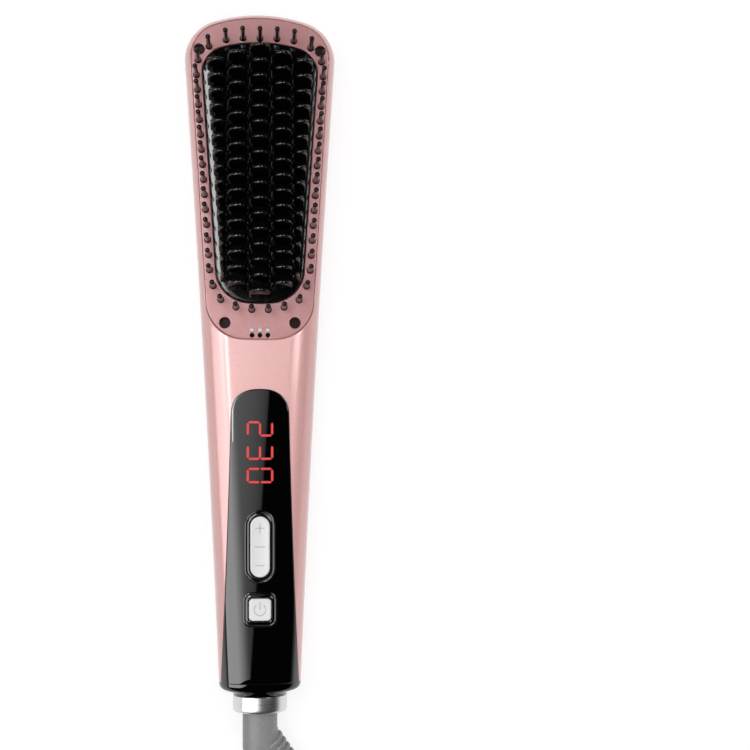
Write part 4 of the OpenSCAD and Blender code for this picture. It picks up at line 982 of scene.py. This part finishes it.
def add_power():
    hw, corner, dish = POWER_W / 2, 1.5, 0.12

    def top(x, y):
        u = clip(math.hypot(x, y - POWER_Y) / hw, 0, 1)
        return BUTTON_Z - dish * (1 - u * u)

    low, high, cx = POWER_Y - hw, POWER_Y + hw, hw - corner
    half = [(cx, low)] + arc(cx, low + corner, corner, -90, 0, 5)[1:]
    half += [(hw, lerp(low + corner, high - corner, k / 6)) for k in range(1, 6)]
    half += arc(cx, high - corner, corner, 0, 90, 5)
    body = plate_mesh(half, top, 18.3, edge=0.45, cells=10)
    piece("power_cap", *body, "white_plastic", ("power_button",), "power", angle=40)
    side = POWER_W + 1.8
    flange = stack(lambda d: moved(square_ring(side + 2 * d, side + 2 * d, 1.8), 0, POWER_Y),
                   [(0, 18.4), (0, 19.05), (-0.1, 19.1)])
    piece("power_flange", *flange, "white_plastic", body="power")
    r, w = 2.35, 0.24
    angles = [lerp(128, 412, k / 36) for k in range(37)]
    line = around(0, POWER_Y, r + w, angles) + around(0, POWER_Y, r - w, reversed(angles))
    forms = [raised_mark(m, BUTTON_Z - dish) for m in (line, bar(0, POWER_Y + 1.5, 0.5, 3.2))]
    # The mark's grey look is painted shade on white plastic
    piece("power_mark", *joined(forms), "white_plastic", body="power", angle=30, look="mark_grey")


def add_digits():
    """Three digits of seven segments, read along -Y"""
    t, gap = 0.95, 0.2
    sx, sy = (DIGIT_H - t) / 2, (DIGIT_W - t) / 2
    # Segments as [x, y, along x or y, length]
    segments = [(sx, 0, "y", 2 * sy), (0, 0, "y", 2 * sy), (-sx, 0, "y", 2 * sy), (sx / 2, -sy, "x", sx),
                (-sx / 2, -sy, "x", sx), (sx / 2, sy, "x", sx), (-sx / 2, sy, "x", sx)]
    levels = [(0, PANEL_Z + 0.01), (0, PANEL_Z + 0.12), (-0.06, PANEL_Z + 0.16)]
    parts = []
    for k, shown in enumerate(((0, 1, 2, 3, 6), (0, 1, 2, 3, 4), (0, 2, 3, 4, 5, 6))):
        for i in shown:
            x, y, way, length = segments[i]
            h, w = length / 2 - gap, t / 2
            hexagon = [(-h, 0), (-h + w, -w), (h - w, -w), (h, 0), (h - w, w), (-h + w, w)]
            if way == "y":
                hexagon = [(b, a) for a, b in hexagon][::-1]
            line = moved(hexagon, x, DIGIT_Y - DIGIT_PITCH * k + y)
            parts.append(stack(lambda d: outset(line, d), levels))
    piece("display_segments", *joined(parts), "red_digits", ("display_digits",), angle=30)


add_panel()
add_bezels()
add_rocker()
add_power()
add_digits()


# ---------------------------------------------------------------- tail
# How the tail cap narrows, as [share of its length, share of the way to its neck]
CAP_STEPS = [(0, 0), (0.1, 0.004), (0.2, 0.012), (0.3, 0.03), (0.38, 0.06), (0.45, 0.1), (0.51, 0.15),
             (0.56, 0.21), (0.61, 0.31), (0.66, 0.43), (0.71, 0.56), (0.76, 0.68), (0.82, 0.8), (0.88, 0.9),
             (0.94, 0.97), (1, 1)]
NECK_R = 10.9


def add_tail_cap():
    low_half = COVER_TAIL_HALF + 0.25
    turns = [k / 16 for k in range(17)]
    up = [(TAIL_HALF - FRONT_ROUND * edge_in(t), (FRONT_Z - SEAM_Z) * edge_up(t)) for t in turns]
    down = [(lerp(TAIL_HALF, low_half, edge_in(t)), (0.3 - SEAM_Z) * edge_up(t)) for t in turns]
    top = [(lerp(up[-1][0], 0, k / 5), up[-1][1]) for k in range(1, 6)]
    floor = [(lerp(down[-1][0], 0, k / 8), down[-1][1]) for k in range(1, 9)]
    right = floor[::-1] + down[:0:-1] + up + top
    section = right + [(-x, z) for x, z in reversed(right[1:-1])]
    neck = [tuple(Vector(p).normalized() * NECK_R) for p in section]
    inner = [(x * 0.6, z * 0.6) for x, z in neck]
    inside_y = TAIL_Y + 0.5
    rings = [[(x * 0.9, inside_y, SEAM_Z + z * 0.9) for x, z in section]]
    for s, t in CAP_STEPS:
        y = TAIL_Y - s * CAP_LEN
        rings.append([(lerp(x, u, t), y, SEAM_Z + lerp(z, v, t)) for (x, z), (u, v) in zip(section, neck)])
    rings += [[(x, y, SEAM_Z + z) for x, z in inner] for y in (CAP_Y, inside_y)]
    piece("tail_end", *rings_mesh(rings, closed=True), "black_gloss", ("tail_cap",), angle=40)


def add_collar():
    r, length, edge, bore = COLLAR_R, COLLAR_LEN, 1.1, 9.3
    profile = [(bore, 0.05), (r - 0.3, 0.05), (r, 0.35)]
    profile += [(r, 0.35 + (length - 1.45) * k / 6) for k in range(1, 7)]
    profile += around(r - edge, length - edge, edge, (22, 45, 68, 90))
    profile += [(BOOT_R + 0.9, length), (BOOT_R + 0.45, length - 0.3), (BOOT_R + 0.4, length - 1.1),
                (bore, length - 1.2)]
    n = 96
    rings = []
    for q, h in profile:
        circle = [on_circle(q, k, n) for k in range(n)]
        rings.append([(x, CAP_Y - h, SEAM_Z + z) for x, z in circle])
    piece("collar_band", *rings_mesh(rings, closed=True), "silver_metal", ("collar_ring",), angle=30)


add_tail_cap()
add_collar()

# The CAD nodes that stay in sight or inside take their slot's finish
for name, obj in frame["nodes"].items():
    for s in obj.material_slots:
        s.material = MATERIALS[SLOT_OF[name]]
    if not obj.material_slots:
        obj.data.materials.append(MATERIALS[SLOT_OF[name]])


# ---------------------------------------------------------------- stage and light
PANE_Z = 0.6
FLOOR_HALF = 6
LAMP_AIM = Vector((0, -0.03, 0))


def bare_material(name):
    """A material without a shader, its node tree and its surface socket"""
    m = bpy.data.materials.new(name)
    m.use_nodes = True
    t = m.node_tree
    t.nodes.remove(t.nodes["Principled BSDF"])
    return m, t, t.nodes["Material Output"].inputs["Surface"]


def either(tree, a, b):
    """The greater of two values"""
    n = node(tree, "ShaderNodeMath", operation="MAXIMUM")
    tree.links.new(a, n.inputs[0])
    tree.links.new(b, n.inputs[1])
    return n.outputs[0]


def mixed_shader(tree, share, a, b):
    """Shader a where share is 0, and b where it is 1"""
    n = node(tree, "ShaderNodeMixShader")
    for k, socket in enumerate((share, a, b)):
        tree.links.new(socket, n.inputs[k])
    return n.outputs[0]


def emission(name, strength, falloff=None):
    """A white glow, graded where falloff gives [axis, start, end, strength at each, power]"""
    m, t, surface = bare_material(name)
    e = node(t, "ShaderNodeEmission", Color=(1, 1, 1, 1), Strength=strength)
    if falloff:
        axis, low, high, a, b, power = falloff
        at = node(t, "ShaderNodeSeparateXYZ")
        t.links.new(node(t, "ShaderNodeTexCoord").outputs["Object"], at.inputs[0])
        curve = node(t, "ShaderNodeMath", operation="POWER")
        t.links.new(ramp(t, at.outputs[axis], low, high), curve.inputs[0])
        curve.inputs[1].default_value = power
        t.links.new(ramp(t, curve.outputs[0], 0, 1, a, b), e.inputs["Strength"])
    t.links.new(e.outputs[0], surface)
    return m


def pane(name, at, corners, material, turn=0.0):
    """A level pane that only reflections see, from its corners round a place"""
    mesh = bpy.data.meshes.new(name)
    mesh.from_pydata([(x, y, 0) for x, y in corners], [], [tuple(range(len(corners)))])
    mesh.materials.append(material)
    obj = placed(name, mesh)
    obj.location, obj.rotation_euler = at, (0, 0, turn)
    for ray in ("camera", "diffuse", "shadow", "transmission", "volume_scatter"):
        setattr(obj, "visible_" + ray, False)


def strip(name, x0, x1, y0, y1, strength):
    pane(name, (0, 0, PANE_Z), [(x0, y0), (x1, y0), (x1, y1), (x0, y1)], emission(name + "_light", strength))


def lamp(name, at, size, power):
    """A square lamp aimed at the brush, which reflections don't see"""
    data = bpy.data.lights.new(name, "AREA")
    data.shape, data.size, data.size_y, data.energy = "RECTANGLE", size, size, power
    obj = placed(name, data)
    obj.location = at
    obj.rotation_mode = "QUATERNION"
    obj.rotation_quaternion = (LAMP_AIM - Vector(at)).to_track_quat("-Z", "Y")
    obj.visible_glossy = False


def add_floor():
    """A floor that is white to the camera and to reflections, and pale to other light"""
    mesh = bpy.data.meshes.new("floor")
    s = FLOOR_HALF
    mesh.from_pydata([(-s, -s, 0), (s, -s, 0), (s, s, 0), (-s, s, 0)], [], [(0, 1, 2, 3)])
    floor = placed("floor", mesh)
    floor.location.z = -0.0002
    m, t, surface = bare_material("floor_white")
    path = node(t, "ShaderNodeLightPath")
    seen = either(t, path.outputs["Is Camera Ray"], path.outputs["Is Glossy Ray"])
    glow = node(t, "ShaderNodeEmission", Strength=0.78)
    base = node(t, "ShaderNodeBsdfDiffuse", Color=(0.3, 0.3, 0.3, 1))
    pale = node(t, "ShaderNodeBsdfDiffuse", Color=(0.8, 0.8, 0.8, 1))
    both = node(t, "ShaderNodeAddShader")
    t.links.new(glow.outputs[0], both.inputs[0])
    t.links.new(base.outputs[0], both.inputs[1])
    t.links.new(mixed_shader(t, seen, pale.outputs[0], both.outputs[0]), surface)
    mesh.materials.append(m)


def add_world():
    """White to the camera, a white horizon under a dark ceiling to reflections, and soft light"""
    world = bpy.data.worlds.new("studio")
    bpy.context.scene.world = world
    world.use_nodes = True
    t = world.node_tree
    t.nodes.clear()
    path = node(t, "ShaderNodeLightPath")
    soft = node(t, "ShaderNodeBackground", Strength=0.3)
    white = node(t, "ShaderNodeBackground", Strength=1.0)
    room = node(t, "ShaderNodeBackground")
    at = node(t, "ShaderNodeSeparateXYZ")
    t.links.new(node(t, "ShaderNodeTexCoord").outputs["Generated"], at.inputs[0])
    t.links.new(ramp(t, at.outputs[2], 0.0, 0.3, 0.7, 0.0), room.inputs["Strength"])
    lit = mixed_shader(t, path.outputs["Is Glossy Ray"], soft.outputs[0], room.outputs[0])
    direct = either(t, path.outputs["Is Camera Ray"], path.outputs["Is Transmission Ray"])
    out = node(t, "ShaderNodeOutputWorld")
    t.links.new(mixed_shader(t, direct, lit, white.outputs[0]), out.inputs["Surface"])


add_floor()
add_world()
lamp("key", (-0.25, 0.1, 1.1), 1.2, 8.5)
lamp("fill", (0.7, -0.5, 0.8), 0.8, 2.8)
# Panes for the grey half of the control panel, and for the streaks on the shell and the teeth
pane("pane_left", (0.0015, -0.087, PANE_Z), [(-2.4, -1.2), (-0.25, -0.3), (0, -0.14), (0, 0.16), (-2.4, 0.16)],
     emission("pane_grey", 1, (0, 0.0, -0.3, 0.2, 3.4, 0.5)), -0.066)
strip("strip_left", -0.19, -0.1, -0.04, 0.3, 12)
strip("halo_left", -0.27, -0.19, -0.04, 0.3, 1)
strip("strip_right", 0.15, 0.4, 0.0, 0.3, 3.2)
strip("dots_left", -0.43, -0.35, 0.05, 0.33, 26)
strip("dots_right", 0.35, 0.43, 0.05, 0.33, 26)
bpy.context.scene.view_settings.view_transform = "Standard"
